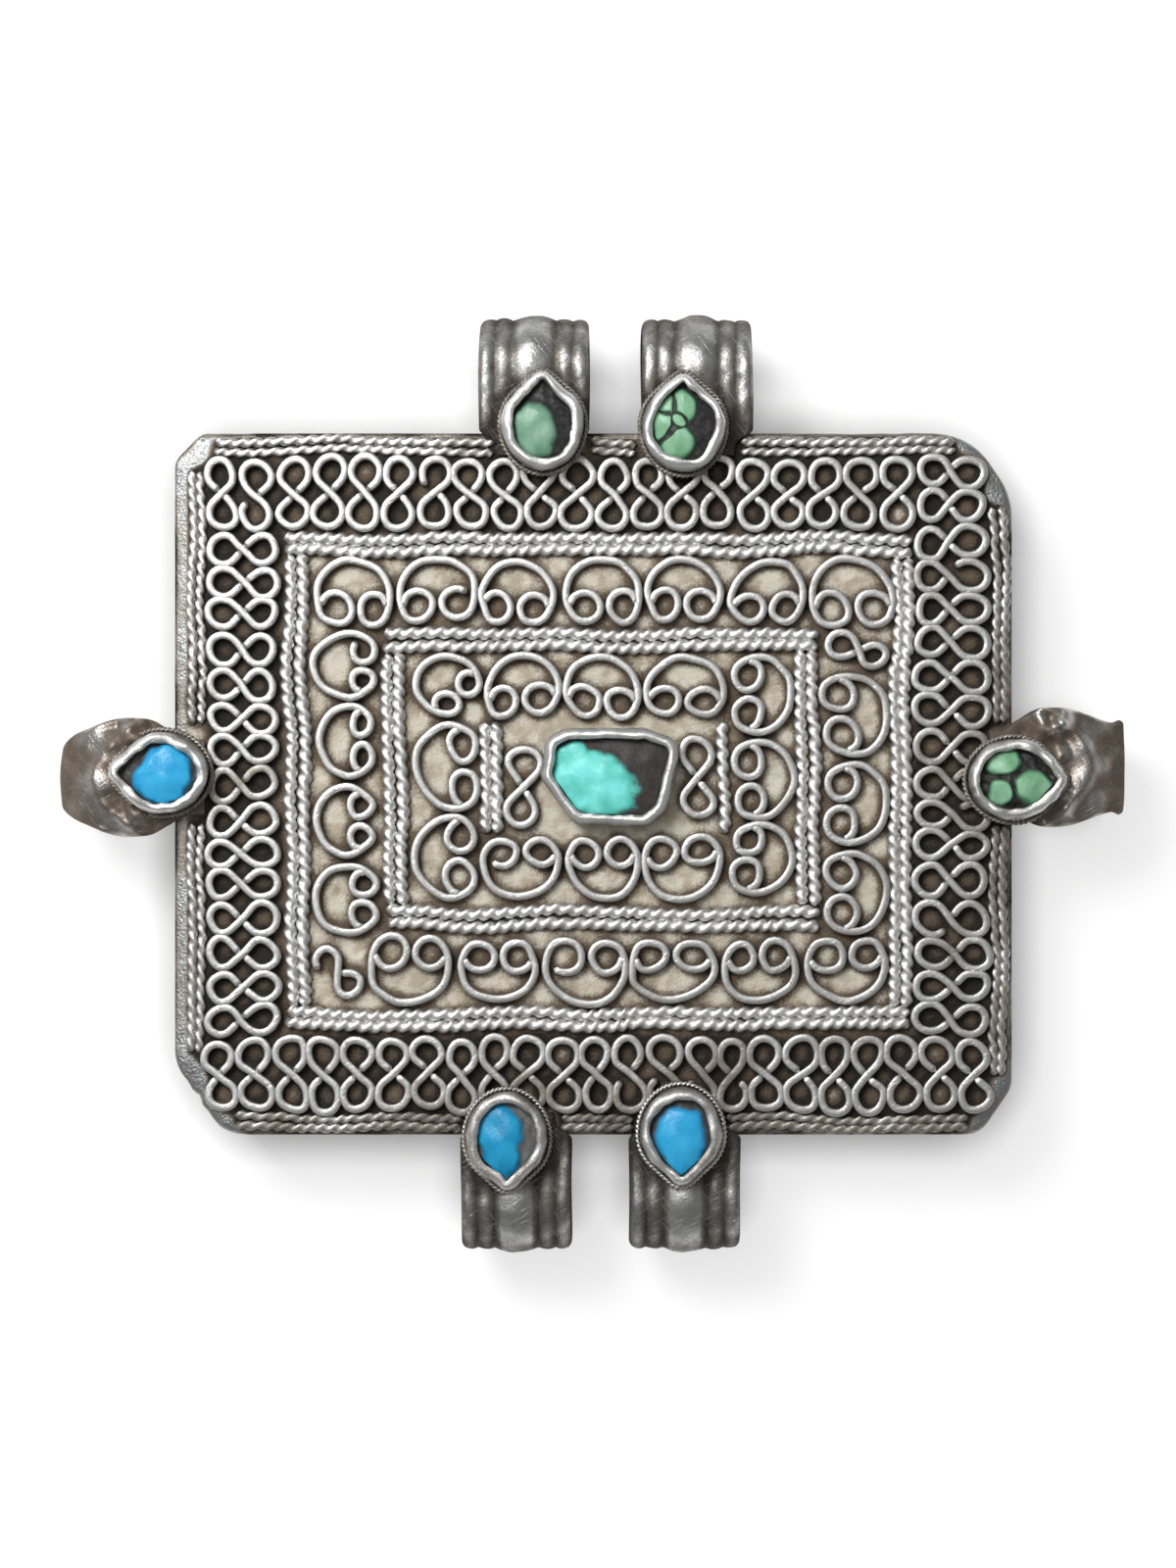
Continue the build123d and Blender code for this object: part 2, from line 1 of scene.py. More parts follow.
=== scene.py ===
# %% [markdown]
# # A worn silver amulet box
# The object is a flat silver box for a folded prayer. Its face is covered in filigree: wire eights, scrolls
# and twisted ropes soldered to a sheet. Six cord loops stand out from its edges, each with a set stone.
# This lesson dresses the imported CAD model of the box. The model is the frame: it gives the place and size
# of every piece, and each piece made here takes its place from it. All shapes are worked out in
# millimetres.

# %% Load the frame
import math

import bpy
import numpy as np
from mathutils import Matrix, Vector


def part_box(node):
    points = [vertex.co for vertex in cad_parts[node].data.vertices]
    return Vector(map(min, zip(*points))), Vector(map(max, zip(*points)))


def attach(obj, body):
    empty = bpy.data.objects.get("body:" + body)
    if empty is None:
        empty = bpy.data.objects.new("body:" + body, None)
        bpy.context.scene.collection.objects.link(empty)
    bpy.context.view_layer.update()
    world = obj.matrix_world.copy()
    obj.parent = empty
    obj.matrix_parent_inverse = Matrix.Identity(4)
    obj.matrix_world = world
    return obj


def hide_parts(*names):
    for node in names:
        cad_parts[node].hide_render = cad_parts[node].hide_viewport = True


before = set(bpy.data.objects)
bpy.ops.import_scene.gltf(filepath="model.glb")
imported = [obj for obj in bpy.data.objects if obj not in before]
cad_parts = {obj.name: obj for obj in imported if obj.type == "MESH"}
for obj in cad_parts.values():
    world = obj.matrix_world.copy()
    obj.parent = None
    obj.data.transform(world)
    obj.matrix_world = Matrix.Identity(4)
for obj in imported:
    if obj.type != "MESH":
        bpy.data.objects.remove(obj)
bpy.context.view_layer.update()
MM = 0.001
COVER, TRAY = "front_cover", "back_tray"
SIDES = ("top", "bottom", "left", "right")


def box_mm(node):
    """Lowest and highest corner of a CAD node, in millimetres."""
    low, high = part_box(node)
    return np.array(low) / MM, np.array(high) / MM


def axes_of(side):
    """The axis that a side of the face runs along, and the axis across it: 0 is x and 1 is y."""
    return (0, 1) if side in ("top", "bottom") else (1, 0)


def plan_point(along, lengthwise, crosswise):
    """Point x + iy of the plan, from its places along and across a side that runs along that axis."""
    return lengthwise + 1j * crosswise if along == 0 else crosswise + 1j * lengthwise


face_low, face_high = box_mm("face_sheet")
FACE = face_high[2]
print("frame:", len(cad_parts), "nodes; the face lies", round(FACE, 2), "mm above the back")

# %% [markdown]
# ## From arrays to pieces
# Nearly every piece here is a grid of points whose columns run round it: a wire, a rope, a cup or a stone.
# Such a grid can be written once as a formula over whole arrays, so no loop over points is needed. One
# helper turns grids into faces, and another puts them into a mesh, gives it a finish and tells the frame
# which body the piece moves with and which CAD node it stands for.

# %% Skins from grids
def skin(grids, ring_rows=False):
    """Closed skins of a grid [rows, columns, 3], or of many copies of one, as points and arrays of faces.

    A face joins a point to the next column and the next row, and the last column to the first.
    The last row joins the first too, or both end rows are closed by flat caps.
    """
    grids = grids.reshape(-1, *grids.shape[-3:])
    copies, rows, columns = grids.shape[:3]
    row = np.arange(rows if ring_rows else rows - 1)[:, None] * columns
    column = np.arange(columns)[None]
    next_row = (row + columns) % (rows * columns)
    next_column = (column + 1) % columns
    corners = (row + column, row + next_column, next_row + next_column, next_row + column)
    quads = np.stack(corners, -1).reshape(-1, 4)
    caps = np.stack([column[0, ::-1], (rows - 1) * columns + column[0]])
    # the volume that the first copy encloses is negative if its faces point inwards
    one = grids[0].reshape(-1, 3) - grids[0].reshape(-1, 3).mean(0)
    a, b, c, d = (one[quads[:, i]] for i in range(4))
    if np.sum(a * (np.cross(b, c) + np.cross(c, d))) < 0:
        quads, caps = quads[:, ::-1], caps[:, ::-1]
    first = np.arange(copies)[:, None, None] * rows * columns
    faces = [(quads + first).reshape(-1, 4)]
    if not ring_rows:
        faces.append((caps + first).reshape(-1, columns))
    return grids.reshape(-1, 3), faces


print("faces of a grid of 5 by 8 points:", [group.shape for group in skin(np.zeros((5, 8, 3)))[1]])

# %% Pieces from skins
SHARP_EDGE = math.radians(50)
made = {}


def add_piece(name, skins, finish, slot, body=COVER, **fields):
    """One mesh object from skins in millimetres, which stands for the CAD node of its name.

    The fields are named values, one for each point, which the finish can read.
    """
    points = np.concatenate([own for own, _ in skins])
    firsts = np.cumsum([0] + [len(own) for own, _ in skins[:-1]])
    faces = [group + first for (_, groups), first in zip(skins, firsts) for group in groups]
    sizes = np.concatenate([np.full(len(group), group.shape[1]) for group in faces])
    corners = np.concatenate([group.ravel() for group in faces])
    mesh = bpy.data.meshes.new(name)
    mesh.vertices.add(len(points))
    mesh.vertices.foreach_set("co", (points * MM).ravel())
    mesh.loops.add(len(corners))
    mesh.loops.foreach_set("vertex_index", corners.astype(np.int32))
    mesh.polygons.add(len(sizes))
    mesh.polygons.foreach_set("loop_start", (np.cumsum(sizes) - sizes).astype(np.int32))
    mesh.update(calc_edges=True)
    mesh.shade_smooth()
    mesh.set_sharp_from_angle(angle=SHARP_EDGE)
    for key, values in fields.items():
        field = mesh.attributes.new(key, "FLOAT", "POINT")
        field.data.foreach_set("value", np.clip(values, 0, 1).astype(np.float32).ravel())
    mesh.materials.append(finish)
    piece = bpy.data.objects.new(f"{name}_piece", mesh)
    bpy.context.scene.collection.objects.link(piece)
    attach(piece, body)
    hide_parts(name)
    made[name] = int((sizes - 2).sum())


def print_made(prefix):
    """Prints the triangles of the pieces whose names start with a prefix."""
    print("triangles:", {name: count for name, count in made.items() if name.startswith(prefix)})


# %% [markdown]
# ## Uneven by hand
# Filigree is bent with pliers and set by eye, so no two motifs match and no row is quite straight. A noise
# modifier would tear neighbours apart. Here a field made of a few long sine waves moves the whole face like
# soft clay, so wires that touch still touch. The same field, used on a surface, gives dents.

# %% The ripple field and the hand's drift
LONG_DRIFT, LONG_WAVE = 0.2, 13.0
SHORT_DRIFT, SHORT_WAVE = 0.06, 3.2


def ripple(points, size, seed, waves=7):
    """Smooth field, mostly from -1 to 1: a sum of sine waves about as long as size, at random angles.

    The points have coordinates as their last axis, or are complex numbers for points of a plane.
    """
    if np.iscomplexobj(points):
        points = np.stack([points.real, points.imag], -1)
    draw = np.random.default_rng(seed)
    aim = draw.normal(size=(waves, points.shape[-1]))
    longer = draw.uniform(0.7, 1.4, (waves, 1))
    aim *= 2 * np.pi / size * longer / np.linalg.norm(aim, axis=1, keepdims=True)
    phase = draw.uniform(0, 2 * np.pi, waves)
    return np.sin(points @ aim.T + phase).sum(-1) / math.sqrt(waves)


def dented(points, dents, seed):
    """Dents of several sizes: the sum of depth * ripple for each (depth, size), with seeds that count up."""
    return sum(depth * ripple(points, size, seed + i) for i, (depth, size) in enumerate(dents))


def by_hand(flat):
    """Points of the plan, each moved by a long and a short ripple."""
    long_move = ripple(flat, LONG_WAVE, 11) + 1j * ripple(flat, LONG_WAVE, 12)
    short_move = ripple(flat, SHORT_WAVE, 13) + 1j * ripple(flat, SHORT_WAVE, 14)
    return flat + LONG_DRIFT * long_move + SHORT_DRIFT * short_move


def lifted(flat, height):
    """Points in space from points of the plan and their heights."""
    return np.stack([flat.real, flat.imag, np.broadcast_to(height, flat.shape)], -1)


def push_aside(grid, push):
    """Moves a grid of points in space, in place, by complex steps of the plan."""
    grid[..., 0] += push.real
    grid[..., 1] += push.imag


def smooth_step(value, low, high):
    """0 below low and 1 above high, with a soft bend between."""
    t = np.clip((value - low) / (high - low), 0, 1)
    return t * t * (3 - 2 * t)


def bell(value, middle, reach, power=2):
    """Bell curve: 1 at the middle, falling to 1/e one reach away on both sides."""
    return np.exp(-(np.abs((value - middle) / reach) ** power))


print("hand drift:", LONG_DRIFT, "mm over", LONG_WAVE, "mm")

# %% [markdown]
# ## Finishes: helpers for nodes
# A finish is a small network of shader nodes. A few helpers keep the networks short: one adds a node and
# sets or links its inputs, others open, fill and place a node group. Patterns read Object coordinates
# turned into millimetres, because every piece sits at the origin with its place in its mesh, so one pattern
# runs on across pieces.

# %% Node helpers
def add_node(tree, kind, settings=None, **inputs):
    """New shader node. An input is given a value, or is linked if the value is another node's output.

    Inputs go by name, or by number as i0, i1 and so on. A colour is given without its alpha, which is 1.
    """
    node = tree.nodes.new("ShaderNode" + kind)
    for key, value in (settings or {}).items():
        setattr(node, key, value)
    for key, value in inputs.items():
        numbered = key[0] == "i" and key[1:].isdigit()
        socket = node.inputs[int(key[1:]) if numbered else key.replace("_", " ")]
        if isinstance(value, bpy.types.NodeSocket):
            tree.links.new(value, socket)
        else:
            socket.default_value = (*value, 1) if socket.type == "RGBA" else value
    return node


def link_all(tree, sockets, **outputs):
    """Links from outputs to the sockets of those names."""
    for key, value in outputs.items():
        tree.links.new(value, sockets[key.replace("_", " ")])


def maths(tree, operation, first, second=0.0, third=0.0):
    """Output of a Math node."""
    return add_node(tree, "Math", {"operation": operation}, i0=first, i1=second, i2=third).outputs[0]


def blend_colours(tree, amount, first, second):
    """Output of a colour mix: the first colour where the amount is 0, the second where it is 1."""
    return add_node(tree, "Mix", {"data_type": "RGBA"}, i0=amount, i6=first, i7=second).outputs[2]


def between(tree, value, low, high, to_low=0.0, to_high=1.0):
    """Output that rises smoothly from to_low to to_high while the value goes from low to high."""
    names = {"From_Min": low, "From_Max": high, "To_Min": to_low, "To_Max": to_high}
    return add_node(tree, "MapRange", {"interpolation_type": "SMOOTHSTEP"}, Value=value, **names).outputs[0]


def cloud(tree, place, per_mm, detail):
    """Output of a noise with that many swells to the millimetre."""
    return add_node(tree, "TexNoise", Vector=place, Scale=per_mm, Detail=detail).outputs[0]


def relief(tree, height, depth):
    """Normals of a surface whose height of 0 to 1 stands for a depth in millimetres."""
    return add_node(tree, "Bump", Height=height, Distance=depth * MM).outputs[0]


def millimetres(tree, middle=(0.0, 0.0, 0.0)):
    """Object coordinates in millimetres, measured from a middle point."""
    place = add_node(tree, "TexCoord").outputs["Object"]
    moved = add_node(tree, "VectorMath", {"operation": "SUBTRACT"}, i0=place, i1=[v * MM for v in middle])
    return add_node(tree, "Mapping", Vector=moved.outputs[0], Scale=(1 / MM,) * 3).outputs[0]


def new_group(name, inputs, outputs):
    """Empty node group with named sockets, and its two ends."""
    group = bpy.data.node_groups.new(name, "ShaderNodeTree")
    for direction, sockets in (("INPUT", inputs), ("OUTPUT", outputs)):
        for label, kind in sockets.items():
            group.interface.new_socket(label, in_out=direction, socket_type="NodeSocket" + kind)
    return group, group.nodes.new("NodeGroupInput").outputs, group.nodes.new("NodeGroupOutput").inputs


def use_group(tree, group, **inputs):
    """Outputs of a node group placed in a tree with its own values."""
    return add_node(tree, "Group", {"node_tree": group}, **inputs).outputs


print("patterns are counted in millimetres, of", MM, "m each")

# %% [markdown]
# ## Effect: scratches from wear
# Silver that has been carried for years has fine scratches in every direction. A noise stretched a long way
# in one direction makes hair lines. Two such noises, turned apart, are cut off high so that only a few
# lines are left.

# %% Scratch group
SCRATCH_SIZE = (4.5, 0.2, 1.0)
SCRATCH_TURNS = (0.5, 2.2)
HAIRS_PER_MM, HAIR_FROM, HAIR_FULL = 1.6, 0.60, 0.72
scratch_group, ends, out = new_group("fine_scratches", {"Place": "Vector"}, {"Lines": "Float"})
lines = []
for turn in SCRATCH_TURNS:
    turned = add_node(
        scratch_group, "Mapping", {"vector_type": "TEXTURE"},
        Vector=ends["Place"], Rotation=(0, 0, turn), Scale=SCRATCH_SIZE,
    )
    hair = cloud(scratch_group, turned.outputs[0], HAIRS_PER_MM, 2.0)
    lines.append(between(scratch_group, hair, HAIR_FROM, HAIR_FULL))
link_all(scratch_group, out, Lines=maths(scratch_group, "MAXIMUM", *lines))
print("group:", scratch_group.name)

# %% [markdown]
# ## Effect: silver that has tarnished in its recesses
# Old silver is bright where it is rubbed and brown to black where no cloth reaches. Each piece therefore
# carries a field named recess, 0 on its crests and 1 in its grooves, which numpy worked out with the shape.
# On the wires the field also holds a painted shade towards the lower right, and on the loops a painted dark
# reflection at their far ends.
# The group frays that field with noise, and then mixes three colours: bright metal, warm tarnish and black
# grime.

# %% Aged silver group
PATCHES_PER_MM, GRAIN_PER_MM = 0.55, 5.0
TARNISH_FROM, TARNISH_FULL = 0.60, 1.15
GRIME_FROM, GRIME_FULL = 0.98, 1.60
FRAYED_BY_PATCHES, FRAYED_BY_GRAIN = 0.75, 0.45
SCRATCH_SHOWS, SCRATCH_DEPTH = 0.3, -0.5
TARNISH_ROUGH, GRIME_ROUGH, GRAIN_ROUGH = 0.14, 0.22, 0.12
GRIME_METAL = -0.8
silver_inputs = {
    "Place": "Vector", "Recess": "Float", "Bright": "Color", "Tarnish": "Color", "Grime": "Color",
}
silver_outputs = {"Colour": "Color", "Metal": "Float", "Roughness": "Float", "Height": "Float"}
silver_group, ends, out = new_group("aged_silver", silver_inputs, silver_outputs)
patches = cloud(silver_group, ends["Place"], PATCHES_PER_MM, 4.0)
grain = cloud(silver_group, ends["Place"], GRAIN_PER_MM, 3.0)
frayed = maths(silver_group, "MULTIPLY_ADD", patches, FRAYED_BY_PATCHES, ends["Recess"])
frayed = maths(silver_group, "MULTIPLY_ADD", grain, FRAYED_BY_GRAIN, frayed)
tarnished = between(silver_group, frayed, TARNISH_FROM, TARNISH_FULL)
grimy = between(silver_group, frayed, GRIME_FROM, GRIME_FULL)
colour = blend_colours(silver_group, tarnished, ends["Bright"], ends["Tarnish"])
colour = blend_colours(silver_group, grimy, colour, ends["Grime"])
scratches = use_group(silver_group, scratch_group, Place=ends["Place"])["Lines"]
rubbed = maths(silver_group, "MULTIPLY", scratches, SCRATCH_SHOWS)
rough = maths(silver_group, "MULTIPLY", tarnished, TARNISH_ROUGH)
rough = maths(silver_group, "MULTIPLY_ADD", grimy, GRIME_ROUGH, rough)
link_all(
    silver_group, out,
    Colour=blend_colours(silver_group, rubbed, colour, ends["Bright"]),
    Metal=maths(silver_group, "MULTIPLY_ADD", grimy, GRIME_METAL, 1.0),
    Roughness=maths(silver_group, "MULTIPLY_ADD", grain, GRAIN_ROUGH, rough),
    Height=maths(silver_group, "MULTIPLY_ADD", scratches, SCRATCH_DEPTH, grain),
)
print("group:", silver_group.name)

# %% Silver finishes
def new_finish(name):
    """Empty material with a Principled shader, its node tree and that shader's inputs."""
    finish = bpy.data.materials.new(name)
    finish.use_nodes = True
    tree = finish.node_tree
    return finish, tree, tree.nodes["Principled BSDF"].inputs


def read_field(tree, name):
    """Output of a field that numpy stored with the mesh."""
    return add_node(tree, "Attribute", {"attribute_name": name}).outputs["Fac"]


def aged_silver(name, bright, tarnish, grime, depth, rough):
    """Finish of one kind of silver: the shared group with its own colours, grain and least roughness."""
    finish, tree, shader = new_finish(name)
    silver = use_group(
        tree, silver_group, Place=millimetres(tree), Recess=read_field(tree, "recess"),
        Bright=bright, Tarnish=tarnish, Grime=grime,
    )
    link_all(
        tree, shader, Base_Color=silver["Colour"], Metallic=silver["Metal"],
        Roughness=maths(tree, "ADD", silver["Roughness"], rough),
        Normal=relief(tree, silver["Height"], depth),
    )
    return finish


GRIME = (0.030, 0.022, 0.016)
TARNISH = (0.34, 0.31, 0.27)
DULL = (0.19, 0.175, 0.155)
ROPE_TARNISH, ROPE_GRIME = (0.56, 0.54, 0.505), (0.12, 0.10, 0.08)
# brown tarnish and grime of the side loops; the brown is partly a painted reflection of brown surroundings
SIDE_TARNISH_AND_REFLECTION, SIDE_GRIME_AND_REFLECTION = (0.24, 0.20, 0.165), (0.12, 0.088, 0.062)
wire_silver = aged_silver("wire_silver", (0.62, 0.62, 0.605), TARNISH, GRIME, 0.02, 0.34)
rope_silver = aged_silver("rope_silver", (0.84, 0.84, 0.82), ROPE_TARNISH, ROPE_GRIME, 0.02, 0.44)
rim_silver = aged_silver("rim_silver", (0.76, 0.765, 0.755), TARNISH, GRIME, 0.03, 0.40)
worn_silver = aged_silver("worn_silver", (0.50, 0.505, 0.495), DULL, GRIME, 0.03, 0.30)
side_silver = aged_silver("side_silver", (0.50, 0.49, 0.475), SIDE_TARNISH_AND_REFLECTION, SIDE_GRIME_AND_REFLECTION, 0.03, 0.26)
sheet_silver = aged_silver("sheet_silver", (0.56, 0.555, 0.54), TARNISH, GRIME, 0.05, 0.26)
print("finishes:", [finish.name for finish in bpy.data.materials if finish.name.endswith("silver")])

# %% [markdown]
# ## Finish: the ground under the filigree
# The sheet between the wires has a dry, cream coloured skin where polish and dust have settled, brown
# beside the wires and nearly black in the narrow holes of the border. That darkening is grime together with
# painted shade, where the wires shade the sheet. Only the plain rim is bare metal. The
# sheet carries three fields for this: recess, from the nearness of wires, bare, which is 1 on the rim, and
# edge, the rim's own recess.

# %% Ground finish
CREAM, SAND = (0.74, 0.69, 0.58), (0.54, 0.47, 0.355)
BROWN, SOOT_AND_SHADE = (0.135, 0.098, 0.066), (0.020, 0.015, 0.011)
RIM_BRIGHT = (0.36, 0.37, 0.37)
MOTTLE_PER_MM, SPECKLE_PER_MM, GROUND_BUMP = 0.7, 4.5, 0.09
SAND_FROM, SAND_FULL = 0.40, 0.66
BROWN_FROM, BROWN_FULL = 0.45, 0.85
SOOT_AND_SHADE_FROM, SOOT_AND_SHADE_FULL = 0.82, 1.25
GROUND_ROUGH, GROUND_METAL, GROUND_SHINE = 0.62, 0.22, 0.3
RIM_METAL, RIM_SMOOTHER = 0.94, 0.32
face_silver, tree, shader = new_finish("face_silver")
place = millimetres(tree)
mottle = cloud(tree, place, MOTTLE_PER_MM, 5.0)
speckle = cloud(tree, place, SPECKLE_PER_MM, 3.0)
ground = blend_colours(tree, between(tree, mottle, SAND_FROM, SAND_FULL), CREAM, SAND)
frayed = maths(tree, "MULTIPLY_ADD", speckle, 0.35, read_field(tree, "recess"))
frayed = maths(tree, "MULTIPLY_ADD", mottle, 0.30, frayed)
# brown and nearly black: grime, and painted shade beside the wires and in the holes of the border
ground = blend_colours(tree, between(tree, frayed, BROWN_FROM, BROWN_FULL), ground, BROWN)
ground = blend_colours(tree, between(tree, frayed, SOOT_AND_SHADE_FROM, SOOT_AND_SHADE_FULL), ground, SOOT_AND_SHADE)
rim = use_group(
    tree, silver_group, Place=place, Recess=read_field(tree, "edge"),
    Bright=RIM_BRIGHT, Tarnish=TARNISH, Grime=GRIME,
)
bare = read_field(tree, "bare")
rim_rough = maths(tree, "SUBTRACT", rim["Roughness"], RIM_SMOOTHER)
shader["Specular IOR Level"].default_value = GROUND_SHINE
link_all(
    tree, shader,
    Base_Color=blend_colours(tree, bare, ground, rim["Colour"]),
    Metallic=maths(tree, "MULTIPLY_ADD", bare, RIM_METAL - GROUND_METAL, GROUND_METAL),
    Roughness=maths(tree, "MULTIPLY_ADD", rim_rough, bare, GROUND_ROUGH),
    Normal=relief(tree, maths(tree, "ADD", speckle, mottle), GROUND_BUMP),
)
print("finish:", face_silver.name)

# %% [markdown]
# ## Plan of the box
# The box is a rectangle with its four corners cut off, no two alike, and the cuts rounded by wear. Every
# wall and sheet follows that outline, moved in or out. The outline is a polygon whose corners are replaced
# by arcs that touch both sides, and is then divided into equal steps, so a piece can be carried round it.

# %% Outlines
CORNER_CUTS = np.array([(3.8, 5.6), (2.4, 2.5), (4.2, 6.4), (2.9, 4.2)])
CORNER_ROUNDS = [6.0, 1.6, 4.0, 2.5]
DENT_AT, DENT_REACH, DENT_DEPTH = -35.0 - 28.2j, 2.0, 0.35
ARC_STEPS, ROUNDING_STEPS = 25, 9
PLAN_STEPS, WALL_STEPS = 2400, 640


def arc(centre, radius, start, sweep, steps=ARC_STEPS):
    """Points of an arc: the centre plus the radius at angles in degrees from start on."""
    return centre + radius * np.exp(1j * np.radians(start + sweep * np.linspace(0, 1, steps)))


def equal_steps(outline, count):
    """A closed anticlockwise outline divided into equal steps, and the direction outwards at each."""
    closed = np.append(outline, outline[0])
    run = np.append(0, np.cumsum(np.abs(np.diff(closed))))
    points = np.interp(np.linspace(0, run[-1], count, endpoint=False), run, closed)
    along = np.roll(points, -1) - np.roll(points, 1)
    return points, -1j * along / np.abs(along)


def rounded_polygon(corners, radius):
    """Anticlockwise polygon with each corner replaced by an arc that touches both of its sides."""
    radius = np.broadcast_to(radius, corners.shape)
    back = np.roll(corners, 1) - corners
    on = np.roll(corners, -1) - corners
    back, on = back / np.abs(back), on / np.abs(on)
    half = np.arccos((back * np.conj(on)).real) / 2
    middle = (back + on) / np.abs(back + on)
    centres = corners + middle * radius / np.sin(half)
    start = np.degrees(np.angle(-middle)) - (90 - np.degrees(half))
    sweep = 180 - 2 * np.degrees(half)
    turns = (centres, radius, start, sweep)
    return arc(*(values[:, None] for values in turns), ROUNDING_STEPS).ravel()


def box_corners():
    """The eight corners of the plan, anticlockwise from the end of the top right cut."""
    x, y = face_high[0], face_high[1]
    signs = np.array([1 + 1j, -1 + 1j, -1 - 1j, 1 - 1j])
    on_side = signs.real * x + 1j * signs.imag * (y - CORNER_CUTS[:, 1])
    on_end = signs.real * (x - CORNER_CUTS[:, 0]) + 1j * signs.imag * y
    side_first = np.array([True, False, True, False])
    first, second = np.where(side_first, on_side, on_end), np.where(side_first, on_end, on_side)
    return np.stack([first, second], 1).ravel()


plan, plan_out = equal_steps(rounded_polygon(box_corners(), np.repeat(CORNER_ROUNDS, 2)), PLAN_STEPS)
dent = bell(plan, DENT_AT, DENT_REACH) * (0.5 + 0.5 * ripple(plan, 1.5, 17))
plan = plan - plan_out * DENT_DEPTH * np.clip(dent, 0, 1)
edge, outwards = equal_steps(plan, WALL_STEPS)
print("outline:", len(edge), "steps of", round(abs(edge[1] - edge[0]), 3), "mm")

# %% [markdown]
# ## Walls
# The cover's wall is a band of sheet bent round the outline, and the tray's wall stands inside it with a
# little room to slide. Each is a closed section carried round the outline. A band bent and hammered by hand
# is never flat, so a ripple pushes it in and out by a few hundredths of a millimetre. Solder has run along
# its upper edge.

# %% Front wall and tray wall
SHEET = 0.6
EASED = 0.12
TRAY_GAP = 0.72
BAND_STEPS = 9
WALL_DENTS, MOST_PROUD = ((0.035, 7.0), (0.02, 2.2)), 0.04


def band_section(depth, height, eased):
    """Section of a band of sheet, as (outwards, up): a rectangle with eased corners, run round once."""
    rise = np.linspace(eased, height - eased, BAND_STEPS)
    outer = [(-eased, 0.0), *[(0.0, r) for r in rise], (-eased, height)]
    inner = [(-depth + eased, height), *[(-depth, r) for r in rise[::-1]], (-depth + eased, 0.0)]
    return np.array(outer + inner)


def wall(name, inward, seed, body):
    """Band carried round the plan: point = outline + outward direction * (step outwards - inward)."""
    low, high = box_mm(name)
    section = band_section(SHEET, high[2] - low[2], EASED)
    flat = edge[:, None] + outwards[:, None] * (section[:, 0] - inward)
    grid = lifted(flat, low[2] + section[:, 1])
    push_aside(grid, outwards[:, None] * np.minimum(dented(grid, WALL_DENTS, seed), MOST_PROUD))
    up = section[:, 1] / section[:, 1].max()
    inside = section[:, 0] < -SHEET / 2
    recess = 0.10 + 0.5 * smooth_step(np.abs(up - 0.5), 0.36, 0.5) + 0.25 * inside
    recess = np.broadcast_to(recess, flat.shape)
    add_piece(name, [skin(grid, ring_rows=True)], sheet_silver, "sheet_silver", body, recess=recess)


wall("front_wall", 0.0, 21, COVER)
wall("tray_wall", TRAY_GAP, 25, TRAY)
print("walls:", made)

# %% [markdown]
# ## Filigree wire: the section and the sweep
# The wire is rolled nearly flat and stands on its edge, and wear has left it a flat top with eased edges. A
# curve object with a bevel would do for one wire, but there are over a hundred, and each should carry its
# own recess field. So the section is carried along the paths of a whole row at once: each point is the path
# plus the direction to its left times the section. Tarnish also lies over the wires in patches, and is
# thickest round the loops' settings. A painted shade also darkens the wires evenly towards the lower right,
# where less light falls.

# %% Wire section and sweep
WIRE_GAP = 0.06
WIRE_WIDTH, WIRE_HEIGHT = 0.7, 0.95
WIRE_FOOT, TIP_HEIGHT = -0.1, 0.75
half_width = WIRE_WIDTH / 2
half_section = np.array([
    (half_width, WIRE_FOOT), (half_width, 0.5), (half_width, WIRE_HEIGHT - 0.12),
    (half_width - 0.04, WIRE_HEIGHT - 0.03), (half_width - 0.13, WIRE_HEIGHT),
])
wire_side = np.concatenate([half_section[:, 0], [0.0], -half_section[::-1, 0]])
wire_up = np.concatenate([half_section[:, 1], [WIRE_HEIGHT + 0.015], half_section[::-1, 1]])
wire_recess = 1.0 - smooth_step(wire_up, 0.3, WIRE_HEIGHT - 0.02)


def round_tip(from_end):
    """Share of the width near an end: a quarter circle over a run of 1, and not quite 0 at the very end."""
    return np.sqrt(1 - np.square(np.clip(1 - from_end, 0, 0.97)))


def swept_wire(paths):
    """Wire section carried along flat paths [copies, rows]; both ends are drawn in to a round tip."""
    step = np.gradient(paths, axis=1)
    left = 1j * step / np.abs(step)
    run = np.cumsum(np.abs(step), axis=1)
    from_end = np.minimum(run - run[:, :1], run[:, -1:] - run)
    tip = round_tip(from_end / half_width)[..., None]
    flat = paths[..., None] + left[..., None] * tip * wire_side
    return lifted(flat, FACE + wire_up * (TIP_HEIGHT + (1 - TIP_HEIGHT) * tip))


def cut_wires(path, rows, shorter):
    """A path in equal steps, once for each pair of lengths by which its two ends are cut shorter."""
    run = np.append(0, np.cumsum(np.abs(np.diff(path))))
    low, high = shorter[:, :1], run[-1] - shorter[:, 1:]
    return np.interp(low + (high - low) * np.linspace(0, 1, rows), run, path)


print("wire section:", len(wire_side), "points round")

# %% Dull patches and pieces of wire
LOOP_SIDES = {
    "top_left": "top",
    "top_right": "top",
    "bottom_left": "bottom",
    "bottom_right": "bottom",
    "left": "left",
    "right": "right",
}
DULL_REACH, DULL_WAVE = 6.5, 9.0
DULL_PATCHES, FALLOFF_SHADE, DULL_BESIDE = 0.14, 0.07, 0.72
bezel_middles = [sum(box_mm(f"bezel_{name}")) / 2 for name in LOOP_SIDES]
loop_spots = np.array([x + 1j * y for x, y, _ in bezel_middles])
drawn = []


